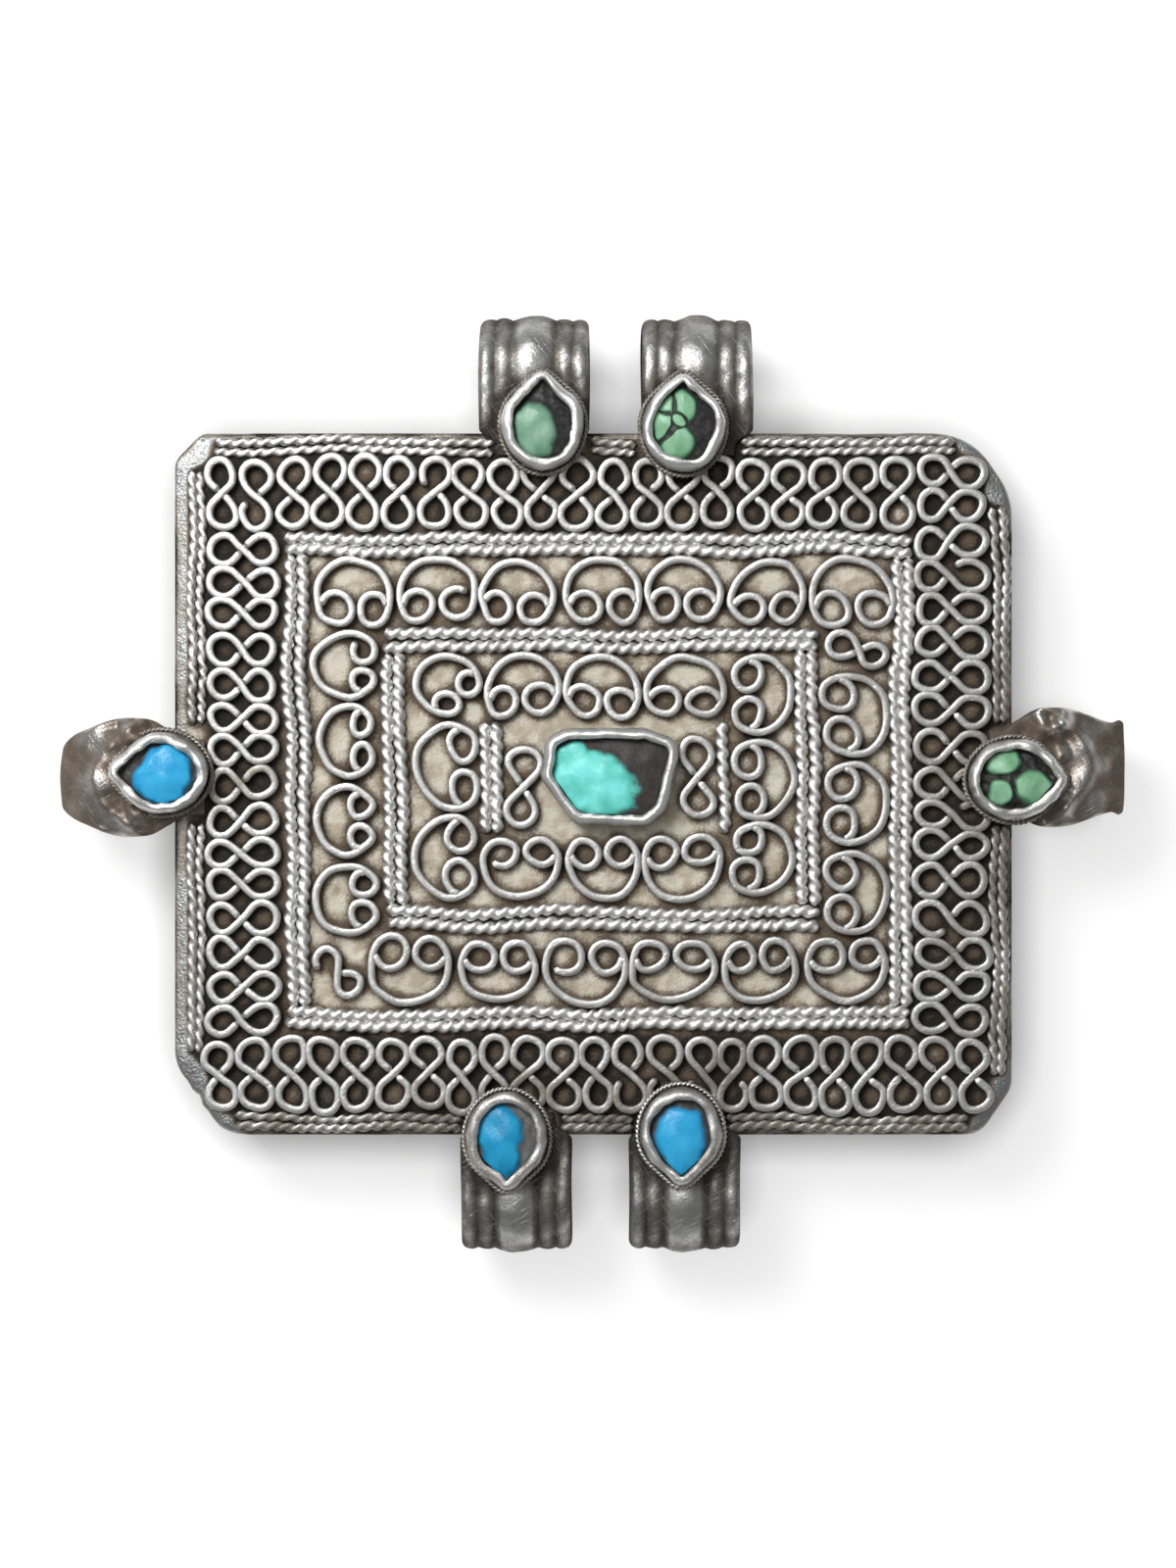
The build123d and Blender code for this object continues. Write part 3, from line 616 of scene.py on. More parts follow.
def dullness_and_shade(flat):
    """Tarnish from a long ripple and beside a loop, and painted shade rising to the lower right."""
    # painted shade: a falloff of light, darker towards the lower right
    slope = flat.real / face_high[0] - flat.imag / face_high[1]
    beside = bell(flat[..., None], loop_spots, DULL_REACH).max(-1)
    return DULL_PATCHES * ripple(flat, DULL_WAVE, 16) + FALLOFF_SHADE * slope + DULL_BESIDE * beside


def wire_piece(node, *rows):
    """Wires bent by hand along rows of flat paths as one piece; kept for the ground's grime and painted
    shade.
    """
    bent = [by_hand(paths) for paths in rows]
    drawn.extend(paths.ravel() for paths in bent)
    recess = np.concatenate([(wire_recess + dullness_and_shade(paths)[..., None]).ravel() for paths in bent])
    add_piece(node, [skin(swept_wire(paths)) for paths in bent], wire_silver, "wire_silver", recess=recess)


print("settings that dull the wires:", np.round(loop_spots, 1))

# %% [markdown]
# ## Filigree eights
# The border is a row of figure eights, each bent from one short wire. Two round loops are joined by
# straight runs: one run goes right through the crossing, and the wire's two ends stop beside it. The runs
# touch the loops, so their lean follows from the loop's radius and its distance from the crossing. Every
# copy leans a little, has one loop larger than the other and ends cut by eye, and some are bent the other
# way round.

# %% The path of an eight
LOOPS_APART = 0.75
EIGHT_END = 0.2
EIGHT_ROWS = 84
CUT_SPREAD, CUT_SHORT, SHORT_SHARE = 0.12, 0.7, 0.07
LOOP_SPREAD, FLIPPED_SHARE, EIGHT_TILT = 0.05, 0.35, 2.2


def eight_path(width, length):
    """Figure eight about the origin, upright: run, arc, run through the crossing, arc, run."""
    widest = (length - WIRE_WIDTH) / (2 + 2 / LOOPS_APART)
    radius = min((width - WIRE_WIDTH) / 2, widest)
    centre = (length - WIRE_WIDTH) / 2 - radius
    lean = math.asin(radius / centre)
    degrees = math.degrees(lean)
    left = 1j * np.exp(1j * lean)
    upper = arc(1j * centre, radius, 180 + degrees, -180 - 2 * degrees)
    lower = arc(-1j * centre, radius, 180 - degrees, 180 + 2 * degrees)
    return np.concatenate([[left * EIGHT_END], upper, lower, [-left * EIGHT_END]])


def eight_copies(width, length, places, turn, seed):
    """Copies of an eight, each with its own tilt, loops, cut ends and way round."""
    draw = np.random.default_rng(seed)
    count = len(places)
    shorter = draw.uniform(0, CUT_SPREAD, (count, 2)) + CUT_SHORT * (draw.random((count, 2)) < SHORT_SHARE)
    paths = cut_wires(eight_path(width, length), EIGHT_ROWS, shorter)
    uneven = draw.normal(0, LOOP_SPREAD, (count, 1)) * paths.imag / (length / 2)
    paths = paths.real * (1 + uneven) + 1j * paths.imag
    paths = np.where(draw.random((count, 1)) < FLIPPED_SHARE, -np.conj(paths), paths)
    tilt = np.exp(1j * np.radians(draw.normal(turn, EIGHT_TILT, (count, 1))))
    nudge = draw.normal(0, 0.05, (count, 1)) + 1j * draw.normal(0, 0.07, (count, 1))
    return places[:, None] + nudge + tilt * paths


print("wire in an eight of 3 by 6 mm:", round(np.abs(np.diff(eight_path(3.0, 6.0))).sum(), 1), "mm")

# %% The border of eights
TOUCH = 0.22
EIGHT_COUNTS = {"top": 20, "bottom": 23, "left": 15, "right": 17}


def row_places(low, high, count):
    """Middles of equal places between low and high, and their pitch."""
    pitch = (high - low) / count
    return low + pitch * (np.arange(count) + 0.5), pitch


for seed, (side, count) in enumerate(EIGHT_COUNTS.items(), 31):
    low, high = box_mm(f"eights_{side}")
    along, across = axes_of(side)
    spots, pitch = row_places(low[along] - WIRE_GAP / 2, high[along] + WIRE_GAP / 2, count)
    places = plan_point(along, spots, (low[across] + high[across]) / 2)
    paths = eight_copies(pitch + TOUCH, high[across] - low[across], places, 90 * along, seed)
    wire_piece(f"eights_{side}", paths)
print_made("eights")

# %% [markdown]
# ## Ram's-horn scrolls
# Two rings of scrolls lie inside the border. A scroll is one wire: a large arc whose two ends curl inwards
# and stop against it, so that each looks like a small ring. The same function makes the small scroll that
# stands slantwise in a corner.

# %% The path of a scroll
SCROLL_ROWS = 128
SCROLL_SHAPE = 1.15
CURLS_APART = 0.03
CURL_SWEEP = 334
CURL_SPREAD, CURL_SHORT, SHORT_CURLS = 0.25, 1.0, 0.08
SCROLL_TILT = 2.0


def scroll_path(width, depth):
    """Curl, arc and curl, with the arc's outer side through the origin and the curls below.

    The curls touch the arc from inside, lie a little apart and reach down to the depth, which gives a
    quadratic equation for their radius. A scroll broader than its depth is drawn narrow, then stretched.
    """
    drawn_width = min(width, SCROLL_SHAPE * depth)
    big = (drawn_width - WIRE_WIDTH) / 2
    apart = (WIRE_WIDTH + CURLS_APART) / 2
    room = depth - WIRE_WIDTH - big
    b = big + apart - room
    curl = -b + math.sqrt(b**2 - room**2 + big**2 - apart**2)
    aside, below = curl + apart, room - curl
    centre = -1j * (big + WIRE_WIDTH / 2)
    meet = math.degrees(math.atan2(below, aside))
    first = arc(centre - aside - 1j * below, curl, 180 + meet + CURL_SWEEP, -CURL_SWEEP)
    large = arc(centre, big, 180 + meet, -180 - 2 * meet, 2 * ARC_STEPS)
    last = arc(centre + aside - 1j * below, curl, -meet, -CURL_SWEEP)
    path = np.concatenate([first, large, last])
    return path.real * width / drawn_width + 1j * path.imag


def scroll_copies(width, depth, places, turn, seed):
    """Copies of a scroll, each a little tilted, stretched and cut by eye."""
    draw = np.random.default_rng(seed)
    count = len(places)
    shorter = draw.uniform(0, CURL_SPREAD, (count, 2)) + CURL_SHORT * (draw.random((count, 2)) < SHORT_CURLS)
    paths = cut_wires(scroll_path(width, depth), SCROLL_ROWS, shorter)
    wider, deeper = draw.normal(0.985, 0.012, (count, 1)), draw.normal(0.99, 0.015, (count, 1))
    paths = paths.real * wider + 1j * paths.imag * deeper
    tilt = np.exp(1j * np.radians(turn + draw.normal(0, SCROLL_TILT, (count, 1))))
    return places[:, None] + tilt * paths


print("wire in a scroll of 8 by 7 mm:", round(np.abs(np.diff(scroll_path(8.0, 7.0))).sum(), 1), "mm")

# %% Rows of scrolls
SCROLL_TURN = {"top": 0, "left": 90, "bottom": 180, "right": -90}
SCROLL_WIDEST = 8.0
outer_top, outer_bottom = box_mm("outer_scrolls_top"), box_mm("outer_scrolls_bottom")
SCROLL_DEPTH = outer_top[1][1] - outer_top[0][1]


def scroll_row(side, against, low, high, count, seed):
    """Scrolls side by side between low and high, their arcs against one side of a rectangle."""
    spots, pitch = row_places(low, high, count)
    places = plan_point(axes_of(side)[0], spots, against)
    width = min(pitch - WIRE_GAP, SCROLL_WIDEST)
    return scroll_copies(width, SCROLL_DEPTH, places, SCROLL_TURN[side], seed)


def whole_row(ring, side, count, seed):
    """Row that fills the box of its own CAD node."""
    low, high = box_mm(f"{ring}_scrolls_{side}")
    along, across = axes_of(side)
    against = high[across] if side in ("top", "right") else low[across]
    return scroll_row(side, against, low[along] - WIRE_GAP / 2, high[along] + WIRE_GAP / 2, count, seed)


print("scroll depth", round(SCROLL_DEPTH, 2), "mm")

# %% The outer ring of scrolls, with its two odd eights
SPARE_LENGTH, SPARE_WIDTH = SCROLL_DEPTH - 0.6, 2.8
TOP_EIGHT_TURN, CORNER_EIGHT_TURN = 70.0, 45.0
BROKEN_OFF = (1.7, 0.1)


def spare_eight(turn, shorter):
    """One eight turned in the plane, and the room that its wire takes up in x and y."""
    turned = np.exp(1j * math.radians(turn))
    whole = eight_path(SPARE_WIDTH, SPARE_LENGTH)
    path = cut_wires(whole, EIGHT_ROWS, np.array([shorter])) * turned
    return path, np.ptp((whole * turned).real) + WIRE_WIDTH, np.ptp((whole * turned).imag) + WIRE_WIDTH


outer_right, outer_left = box_mm("outer_scrolls_right"), box_mm("outer_scrolls_left")
low, high = outer_bottom[1][1] + WIRE_GAP, outer_top[0][1] - WIRE_GAP
top_eight, _, top_room = spare_eight(TOP_EIGHT_TURN, (0.0, 0.0))
top_eight = top_eight + outer_right[1][0] - SCROLL_DEPTH / 2 + 1j * (high - top_room / 2)
corner_eight, corner_room, _ = spare_eight(CORNER_EIGHT_TURN, BROKEN_OFF)
corner_eight = corner_eight + outer_left[0][0] + corner_room / 2
corner_eight = corner_eight + 1j * (outer_bottom[0][1] + SCROLL_DEPTH / 2)
outer_rows = {
    "top": [whole_row("outer", "top", 7, 41)],
    "bottom": [whole_row("outer", "bottom", 6, 42)],
    "left": [scroll_row("left", outer_left[0][0], low, high, 4, 43), corner_eight],
    "right": [scroll_row("right", outer_right[1][0], low, high - top_room - WIRE_GAP, 3, 44), top_eight],
}
for side, rows in outer_rows.items():
    wire_piece(f"outer_scrolls_{side}", *rows)
print("outer ring:", {side: [len(row) for row in rows] for side, rows in outer_rows.items()})

# %% The inner ring of scrolls, with its slanting corner
CORNER_SCROLL = (6.2, 5.5)
CORNER_SLANT = 45
inner_top, inner_left = box_mm("inner_scrolls_top"), box_mm("inner_scrolls_left")
field_left, field_top = inner_left[0][0], inner_top[1][1]
corner = field_top - inner_left[1][1] - WIRE_GAP / 2
near = CORNER_SCROLL[0] / 2
slant = np.exp(1j * math.radians(CORNER_SLANT))
corner_place = np.array([field_left + near + 1j * (field_top - near) + slant * 1j * near])
row_end = box_mm("inner_scrolls_bottom")[1][0] + WIRE_GAP / 2
inner_rows = {
    "top": [
        scroll_row("top", field_top, field_left + corner, row_end, 3, 51),
        scroll_copies(*CORNER_SCROLL, corner_place, CORNER_SLANT, 55),
    ],
    "bottom": [whole_row("inner", "bottom", 3, 52)],
    "left": [whole_row("inner", "left", 2, 53)],
    "right": [whole_row("inner", "right", 3, 54)],
}
for side, rows in inner_rows.items():
    wire_piece(f"inner_scrolls_{side}", *rows)
for seed, side in enumerate(("left", "right"), 61):
    low, high = box_mm(f"centre_eight_{side}")
    middle = np.array([(low[0] + high[0]) / 2 + 1j * (low[1] + high[1]) / 2])
    wire_piece(f"centre_eight_{side}", eight_copies(high[0] - low[0], high[1] - low[1], middle, 0, seed))
print("inner ring:", {side: [len(row) for row in rows] for side, rows in inner_rows.items()})

# %% [markdown]
# ## Twisted ropes
# Every band of filigree is framed by ropes: two round wires twisted together, so that the top shows a
# string of slanting beads. A texture would flatten them in other views, so the twist is real. Seen in polar
# form about the rope's axis, two circles side by side are r = a |cos p| + sqrt(b^2 - a^2 sin^2 p), and
# solder fills the bottom of the grooves. That section turns evenly along the path, and the grid's columns
# follow the strands, so the beads stay crisp with few faces.

# %% The twist
BEAD = 1.165
TWIST_ROWS = 12
ROPE_COLUMNS = 16
ROPE_SUNK = 0.3
STRAND_OFF, STRAND_ROUND = 0.195, 0.305
SOLDER_FILL, GROOVE_DARK = 0.33, 0.25
RUBBED_SHARE = 0.3
GROOVES_SHOW, PATCHES_SHOW = 0.85, 0.6

around = 2 * np.pi * np.arange(ROPE_COLUMNS) / ROPE_COLUMNS
strand = STRAND_OFF * np.abs(np.cos(around))
strand = strand + np.sqrt(STRAND_ROUND**2 - np.square(STRAND_OFF * np.sin(around)))
strand = np.maximum(strand, SOLDER_FILL)
groove = GROOVE_DARK * np.square((strand.max() - strand) / np.ptp(strand))


def twisted_rope(path, level, diameter, turns, worn, phase=0.0, ring=False):
    """Rope along a flat path in equal steps: the section turns evenly, and wear flattens its top.

    worn is the share of the radius above which the strands are rubbed down.
    """
    step = (np.roll(path, -1) - np.roll(path, 1)) if ring else np.gradient(path)
    left = 1j * step / np.abs(step)
    rows = len(path)
    turned = 2 * np.pi * turns * np.arange(rows) / (rows if ring else rows - 1)
    angle = around + phase - turned[:, None]
    size = np.ones((rows, 1))
    if not ring:
        run = np.append(0, np.cumsum(np.abs(np.diff(path))))
        size = round_tip(np.minimum(run, run[-1] - run) / (diameter / 2))[:, None]
    radius = diameter * strand * size
    up = radius * np.sin(angle)
    rubbed = worn * diameter / 2
    up = np.where(up > rubbed, rubbed + RUBBED_SHARE * (up - rubbed), up)
    flat = path[:, None] + left[:, None] * radius * np.cos(angle)
    recess = np.maximum(1.0 - smooth_step(2 * up / diameter, -0.9, 0.0), groove)
    return lifted(flat, level + diameter / 2 + up), recess


def rope_piece(node, lines, diameter, worn, finish, dull=0.0):
    """Ropes bent by hand along straight lines of (start, end, phase), some way down in solder, as one piece.

    dull is added to the recess field and darkens the whole rope.
    """
    skins, recesses = [], []
    for start, end, phase in lines:
        turns = abs(end - start) / (2 * BEAD)
        path = by_hand(start + (end - start) * np.linspace(0, 1, int(turns * TWIST_ROWS) + 2))
        grid, recess = twisted_rope(path, FACE - ROPE_SUNK, diameter, turns, worn, phase)
        drawn.append(path)
        skins.append(skin(grid))
        # the patches include the painted shade towards the lower right
        recess = GROOVES_SHOW * recess + PATCHES_SHOW * dullness_and_shade(path)[:, None]
        recesses.append(recess.ravel() + dull)
    add_piece(node, skins, finish, "wire_silver", recess=np.concatenate(recesses))


print("strands reach", round(strand.min(), 2), "to", round(strand.max(), 2), "of a rope's diameter")

# %% Ropes of both frames and of the middle
FRAME_ROPE, FRAME_LANES, FRAME_WORN = 1.24, 1.1, 0.66
LANE_PHASES = (0.0, math.pi / 2)
NARROW = 1.4


def rope_lines(node, lanes_apart, stretches=None):
    """Start, end and phase of each rope in a CAD node's box: two lanes about its middle, or one if narrow.

    The second lane's twist is a quarter turn ahead, so that its beads lie in the grooves of the first.
    """
    low, high = box_mm(node)
    along, across = (0, 1) if high[0] - low[0] > high[1] - low[1] else (1, 0)
    middle = (low[across] + high[across]) / 2
    single = high[across] - low[across] < NARROW * lanes_apart
    lanes = [middle] if single else [middle - lanes_apart / 2, middle + lanes_apart / 2]
    return [
        (plan_point(along, start, lane), plan_point(along, end, lane), phase)
        for lane, phase in zip(lanes, LANE_PHASES)
        for start, end in stretches or [(low[along], high[along])]
    ]


frame_ropes = [f"{frame_name}_{side}" for frame_name in ("outer_rope", "inner_rope") for side in SIDES]
for node in frame_ropes + ["centre_rope_left", "centre_rope_right"]:
    rope_piece(node, rope_lines(node, FRAME_LANES), FRAME_ROPE, FRAME_WORN, rope_silver)
print_made("outer_rope")

# %% [markdown]
# ## Ropes along the rim
# A thinner pair of ropes runs just inside the rim and stops beside the loops. Hands and clothes rub the rim
# most, so these ropes are worn further down. The free stretches follow from the boxes of the loops and of
# their settings.

# %% Edge ropes between the loops
EDGE_ROPE, EDGE_LANES, EDGE_WORN = 0.92, 0.82, 0.35
# edge ropes darker along the bottom and right sides
EDGE_DULL = {"top": 0.1, "bottom": 0.3, "left": 0.1, "right": 0.22}
# straps are drawn in where they cross the rim, so there the ropes run on into the straps' boxes
BESIDE_BEZEL, BESIDE_STRAP = 0.5, -1.3
for side in SIDES:
    node = f"edge_rope_{side}"
    low, high = box_mm(node)
    along, _ = axes_of(side)
    crossings = []
    for name in (name for name, loop_side in LOOP_SIDES.items() if loop_side == side):
        strap, bezel = box_mm(f"loop_{name}"), box_mm(f"bezel_{name}")
        crossings.append(min(strap[0][along] - BESIDE_STRAP, bezel[0][along] - BESIDE_BEZEL))
        crossings.append(max(strap[1][along] + BESIDE_STRAP, bezel[1][along] + BESIDE_BEZEL))
    ends = [low[along], *sorted(crossings), high[along]]
    lines = rope_lines(node, EDGE_LANES, list(zip(ends[::2], ends[1::2])))
    rope_piece(node, lines, EDGE_ROPE, EDGE_WORN, wire_silver, EDGE_DULL[side])
print_made("edge_rope")

# %% [markdown]
# ## The face sheet, with grime and painted shade beside the wires
# The sheet under the filigree shows how old the box is: grime lies thick wherever a cloth can't reach. The
# same darkening also stands for the shade that the wires throw on the sheet, so it is partly painted shade.
# Ambient occlusion in the shader would guess at that, but the places of all wires are known here. Their
# points are counted into a fine raster, the raster is blurred with a Gaussian by Fourier transform, and the
# sheet's points look up the result. Dents and a few chips of stray solder are moved into the same grid.

# %% Raster of the wires
CELL = 0.2
MARGIN = 2
NEAR = 0.6
raster_x = np.arange(face_low[0] - MARGIN, face_high[0] + MARGIN, CELL)
raster_y = np.arange(face_low[1] - MARGIN, face_high[1] + MARGIN, CELL)
all_wires = np.concatenate(drawn)
bins = [np.append(cells, cells[-1] + CELL) - CELL / 2 for cells in (raster_x, raster_y)]
counts, _, _ = np.histogram2d(all_wires.real, all_wires.imag, bins=bins)


def blurred(raster, spread):
    """Raster blurred by a Gaussian: its transform times that of the Gaussian, exp(-2 (pi f spread)^2)."""
    fx = np.fft.fftfreq(raster.shape[0], CELL)[:, None]
    fy = np.fft.rfftfreq(raster.shape[1], CELL)[None]
    kernel = np.exp(-2 * np.square(np.pi * spread) * (fx**2 + fy**2))
    return np.fft.irfft2(np.fft.rfft2(raster) * kernel, s=raster.shape)


def look_up(raster, x, y):
    """Values of a raster between its cells, mixed from the four cells round each point."""
    u = np.clip((x - raster_x[0]) / CELL, 0, len(raster_x) - 1.001)
    v = np.clip((y - raster_y[0]) / CELL, 0, len(raster_y) - 1.001)
    i, j = u.astype(int), v.astype(int)
    s, t = u - i, v - j
    low = raster[i, j] * (1 - s) + raster[i + 1, j] * s
    high = raster[i, j + 1] * (1 - s) + raster[i + 1, j + 1] * s
    return low * (1 - t) + high * t


one_line = CELL / (math.sqrt(2 * math.pi) * NEAR)
nearness = blurred((counts > 0).astype(float), NEAR) / one_line
print("wires in the raster:", int((counts > 0).sum()), "cells; nearness up to", round(nearness.max(), 2))

# %% Sheet as a grid between the two sides of the outline
EDGE_ROUND = 0.3
RIM_FALL, RIM_REACH = 0.2, 1.3
RIM_STEPS, ROWS_TO_COLUMNS = 1600, 0.84
INWARDS = (0.97, 0.7, 0.35, 0.02)


def sheet_skin(across, height_of, low_z, top_up, fall=0.0):
    """Sheet with a dented grid on its outer side and an eased rim.

    Each row of the grid runs from the outline's left side to its right side. Rings then follow the grid's
    own border round the eased edge, down the sheet's thickness, and in to the middle of the plain side.
    """
    rim, out_of = equal_steps(plan, RIM_STEPS)
    flat_rim = rim - EDGE_ROUND * out_of
    y = np.linspace(flat_rim.imag.min() + 1e-3, flat_rim.imag.max() - 1e-3, int(across * ROWS_TO_COLUMNS))
    left, right = flat_rim[flat_rim.real < 0], flat_rim[flat_rim.real > 0]
    left, right = left[np.argsort(left.imag)], right[np.argsort(right.imag)]
    x0, x1 = np.interp(y, left.imag, left.real), np.interp(y, right.imag, right.real)
    x = x0[:, None] + (x1 - x0)[:, None] * np.linspace(0, 1, across)
    y = np.broadcast_to(y[:, None], x.shape)
    rows, columns = x.shape
    index = np.arange(rows * columns).reshape(rows, columns)
    border = np.concatenate([index[0, :-1], index[:-1, -1], index[-1, :0:-1], index[:0:-1, 0]])
    loop = (x + 1j * y).ravel()[border]
    along = np.roll(loop, -1) - np.roll(loop, 1)
    out_of = -1j * along / np.abs(along)
    bend = np.linspace(0, np.pi / 2, 5)[1:]
    rings = [(loop + out_of * EDGE_ROUND * math.sin(b), EDGE_ROUND * (math.cos(b) - 1) - fall) for b in bend]
    widest = rings[-1][0]
    rings += [(widest * share, -SHEET) for share in (1.0, *INWARDS)]
    top = lifted(x + 1j * y, height_of(x, y)).reshape(-1, 3)
    sides = np.concatenate([lifted(ring, down) for ring, down in rings])
    points = np.concatenate([top, sides])
    points[:, 2] = low_z + (SHEET + points[:, 2] if top_up else -points[:, 2])
    corners = (index[:-1, :-1], index[:-1, 1:], index[1:, 1:], index[1:, :-1])
    quads = np.stack(corners, -1).reshape(-1, 4)
    side_index = rows * columns + np.arange(len(sides)).reshape(len(rings), -1)
    ring_index = np.concatenate([border[None], side_index])
    after = np.roll(ring_index, -1, axis=1)
    walls = np.stack([ring_index[:-1], ring_index[1:], after[1:], after[:-1]], -1).reshape(-1, 4)
    faces = [quads, walls, ring_index[-1:, ::-1]]
    return points, faces if top_up else [group[:, ::-1] for group in faces]


print("sheet:", SHEET, "mm thick, with its rim eased by", EDGE_ROUND, "mm")

# %% Dents and solder chips
CHIPS = [
    (22.9, 18.3, 25), (-20.6, -15.4, 35), (-12.1, -16.9, 30),
    (-24.0, 9.6, -60), (-23.2, -9.2, 70), (8.6, 8.6, 10),
]
CHIP_LENGTH, CHIP_WIDTH, CHIP_HEIGHT = 1.6, 0.55, 0.16
FACE_COLUMNS = 300


def from_outline(x, y, every=1):
    """Distance in from the outline: the least to its straight sides, or to the cuts alone if every is 2."""
    corners = box_corners()
    along = np.roll(corners, -1) - corners
    inward = (1j * along / np.abs(along))[::every]
    place = np.asarray(x + 1j * y)[..., None]
    return ((place - corners[::every]) * np.conj(inward)).real.min(-1)


def face_height(x, y):
    """Height of the ground: dents of two sizes, chips of solder, and a rim worn down outwards."""
    height = 0.045 * ripple(x + 1j * y, 5.0, 71) + 0.02 * ripple(x + 1j * y, 1.4, 72, 12)
    for chip_x, chip_y, turn in CHIPS:
        local = (x - chip_x + 1j * (y - chip_y)) * np.exp(-1j * math.radians(turn))
        chip = bell(local.real, 0, CHIP_LENGTH / 2, 4) * bell(local.imag, 0, CHIP_WIDTH / 2, 4)
        height = height + CHIP_HEIGHT * chip
    inside = from_outline(x, y) - EDGE_ROUND
    worn_down = RIM_FALL * np.square(1 - np.clip(inside / RIM_REACH, 0, 1))
    return height * smooth_step(inside, 0.3, 2.0) - worn_down


face_skin = sheet_skin(FACE_COLUMNS, face_height, face_low[2], True, RIM_FALL)
x, y = face_skin[0][:, 0], face_skin[0][:, 1]
print("face sheet:", len(x), "points")

# %% Fields of the face sheet
def past(prefix):
    """Distance of the sheet's points outside the rectangle round four boxes: the largest of the four."""
    left, right, bottom, top = (box_mm(f"{prefix}_{side}") for side in ("left", "right", "bottom", "top"))
    return np.maximum.reduce([left[0][0] - x, x - right[1][0], bottom[0][1] - y, y - top[1][1]])


flat = x + 1j * y
near_wires, past_rope = look_up(nearness, x, y), past("edge_rope")
in_border = smooth_step(past("outer_rope"), -0.2, 0.6)
# recess holds grime near the wires and in the border, and painted shade from the wires, in one field
recess = 0.02 + 0.62 * near_wires + in_border * (0.28 + 0.14 * ripple(flat, 4.0, 70))
corner_bare = 1 - smooth_step(from_outline(x, y, every=2) + 0.3 * ripple(flat, 3.0, 73), 1.7, 2.3)
corner_bare = corner_bare * (1 - smooth_step(near_wires, 0.45, 0.75))
bare = np.maximum(smooth_step(past_rope, -0.15, 0.1), corner_bare)
beside_rope = 0.35 * smooth_step(-past_rope, -0.35, 0.1) * (1 - corner_bare)
edge_recess = 0.22 + beside_rope + 0.14 * ripple(flat, 6.0, 74)
edge_recess = edge_recess - 0.3 * corner_bare + 0.6 * (1 - smooth_step(from_outline(x, y), 0.0, 0.55))
add_piece("face_sheet", [face_skin], face_silver, "face_silver", recess=recess, bare=bare, edge=edge_recess)
print_made("face")

# %% [markdown]
# ## The back
# The back is a plain sheet that has lain on clothes and tables, so it is smooth, faintly hammered and
# scratched all over, with tarnish left only towards its edges. It uses the same grid as the face, upside
# down and coarser.

# %% Back sheet
BACK_COLUMNS = 150


def back_height(x, y):
    """Depth of the hammer marks on the back, all inwards so that it still rests on its plane."""
    return -0.05 - 0.045 * np.clip(ripple(x + 1j * y, 6.0, 75), -1, 1)


back_skin = sheet_skin(BACK_COLUMNS, back_height, 0.0, False)
at = back_skin[0][:, :2]
from_edge = np.minimum(face_high[0] - np.abs(at[:, 0]), face_high[1] - np.abs(at[:, 1]))
recess = 0.08 + 0.35 * (1 - smooth_step(from_edge, 0.5, 9.0)) + 0.1 * ripple(at, 14.0, 76)
add_piece("back_sheet", [back_skin], sheet_silver, "sheet_silver", TRAY, recess=recess)
print_made("back")

# %% [markdown]
# ## Cord loops
# Each loop is a strap soldered over the edge of the face and rolled under into a ring for the cord. Those
# at the top and bottom were drawn through a grooved die, so a broad bead runs between narrow ones. The two
# at the sides are plain strap, pushed out of shape by years of pull, with a lump on each shoulder. A strap
# is a section, wide and thin, carried along its own path: flat over the edge, then round the bore.

# %% Strap sections
STRAP, STRAP_ROUND = 0.8, 0.4
STRAP_DENTS = ((0.05, 4.0), (0.02, 1.3))
REEDS = {0.0: (2.0, 0.5), 2.75: (0.85, 0.22), 4.25: (0.85, 0.26)}


def reeded(x):
    """Height of the beads across a strap: at each bead's place a parabola, close to a part of a circle."""
    bumps = [
        high * np.clip(1 - ((np.abs(x) - at) / half) ** 2, 0, None)
        for at, (half, high) in REEDS.items()
    ]
    return np.maximum.reduce(bumps)


def eased_edge(x, half):
    """How much a strap's height drops near its two long edges, as a quarter circle."""
    past_edge = np.clip((np.abs(x) - half + STRAP_ROUND) / STRAP_ROUND, 0, 1)
    return STRAP_ROUND * (1 - np.sqrt(1 - past_edge**2))


print("beads of a strap rise", [high for _, high in REEDS.values()], "mm")

# %% Straps carried along their paths
LOOP_BORE, LOOP_OUT, LOOP_TURN = 4.0, 5.35, 315
FLAT_ROWS, RING_ROWS = 34, 84
TOP_COLUMNS, UNDER_COLUMNS = 61, 11
OUT_OF = {"top": 1j, "bottom": -1j, "left": -1 + 0j, "right": 1 + 0j}


def strap_rows(tab):
    """Along a loop: the run, the inner side's place outwards and up, and the direction out of the strap."""
    flat = np.linspace(-tab, LOOP_OUT, FLAT_ROWS, endpoint=False)
    turn = np.radians(np.linspace(0, LOOP_TURN, RING_ROWS))
    run = np.concatenate([flat, LOOP_OUT + LOOP_BORE * turn])
    outward = np.concatenate([flat, LOOP_OUT + LOOP_BORE * np.sin(turn)])
    up = np.concatenate([np.full(FLAT_ROWS, FACE), FACE - LOOP_BORE + LOOP_BORE * np.cos(turn)])
    lean_out = np.concatenate([np.zeros(FLAT_ROWS), np.sin(turn)])
    lean_up = np.concatenate([np.ones(FLAT_ROWS), np.cos(turn)])
    return [values[:, None] for values in (run, outward, up, lean_out, lean_up)]


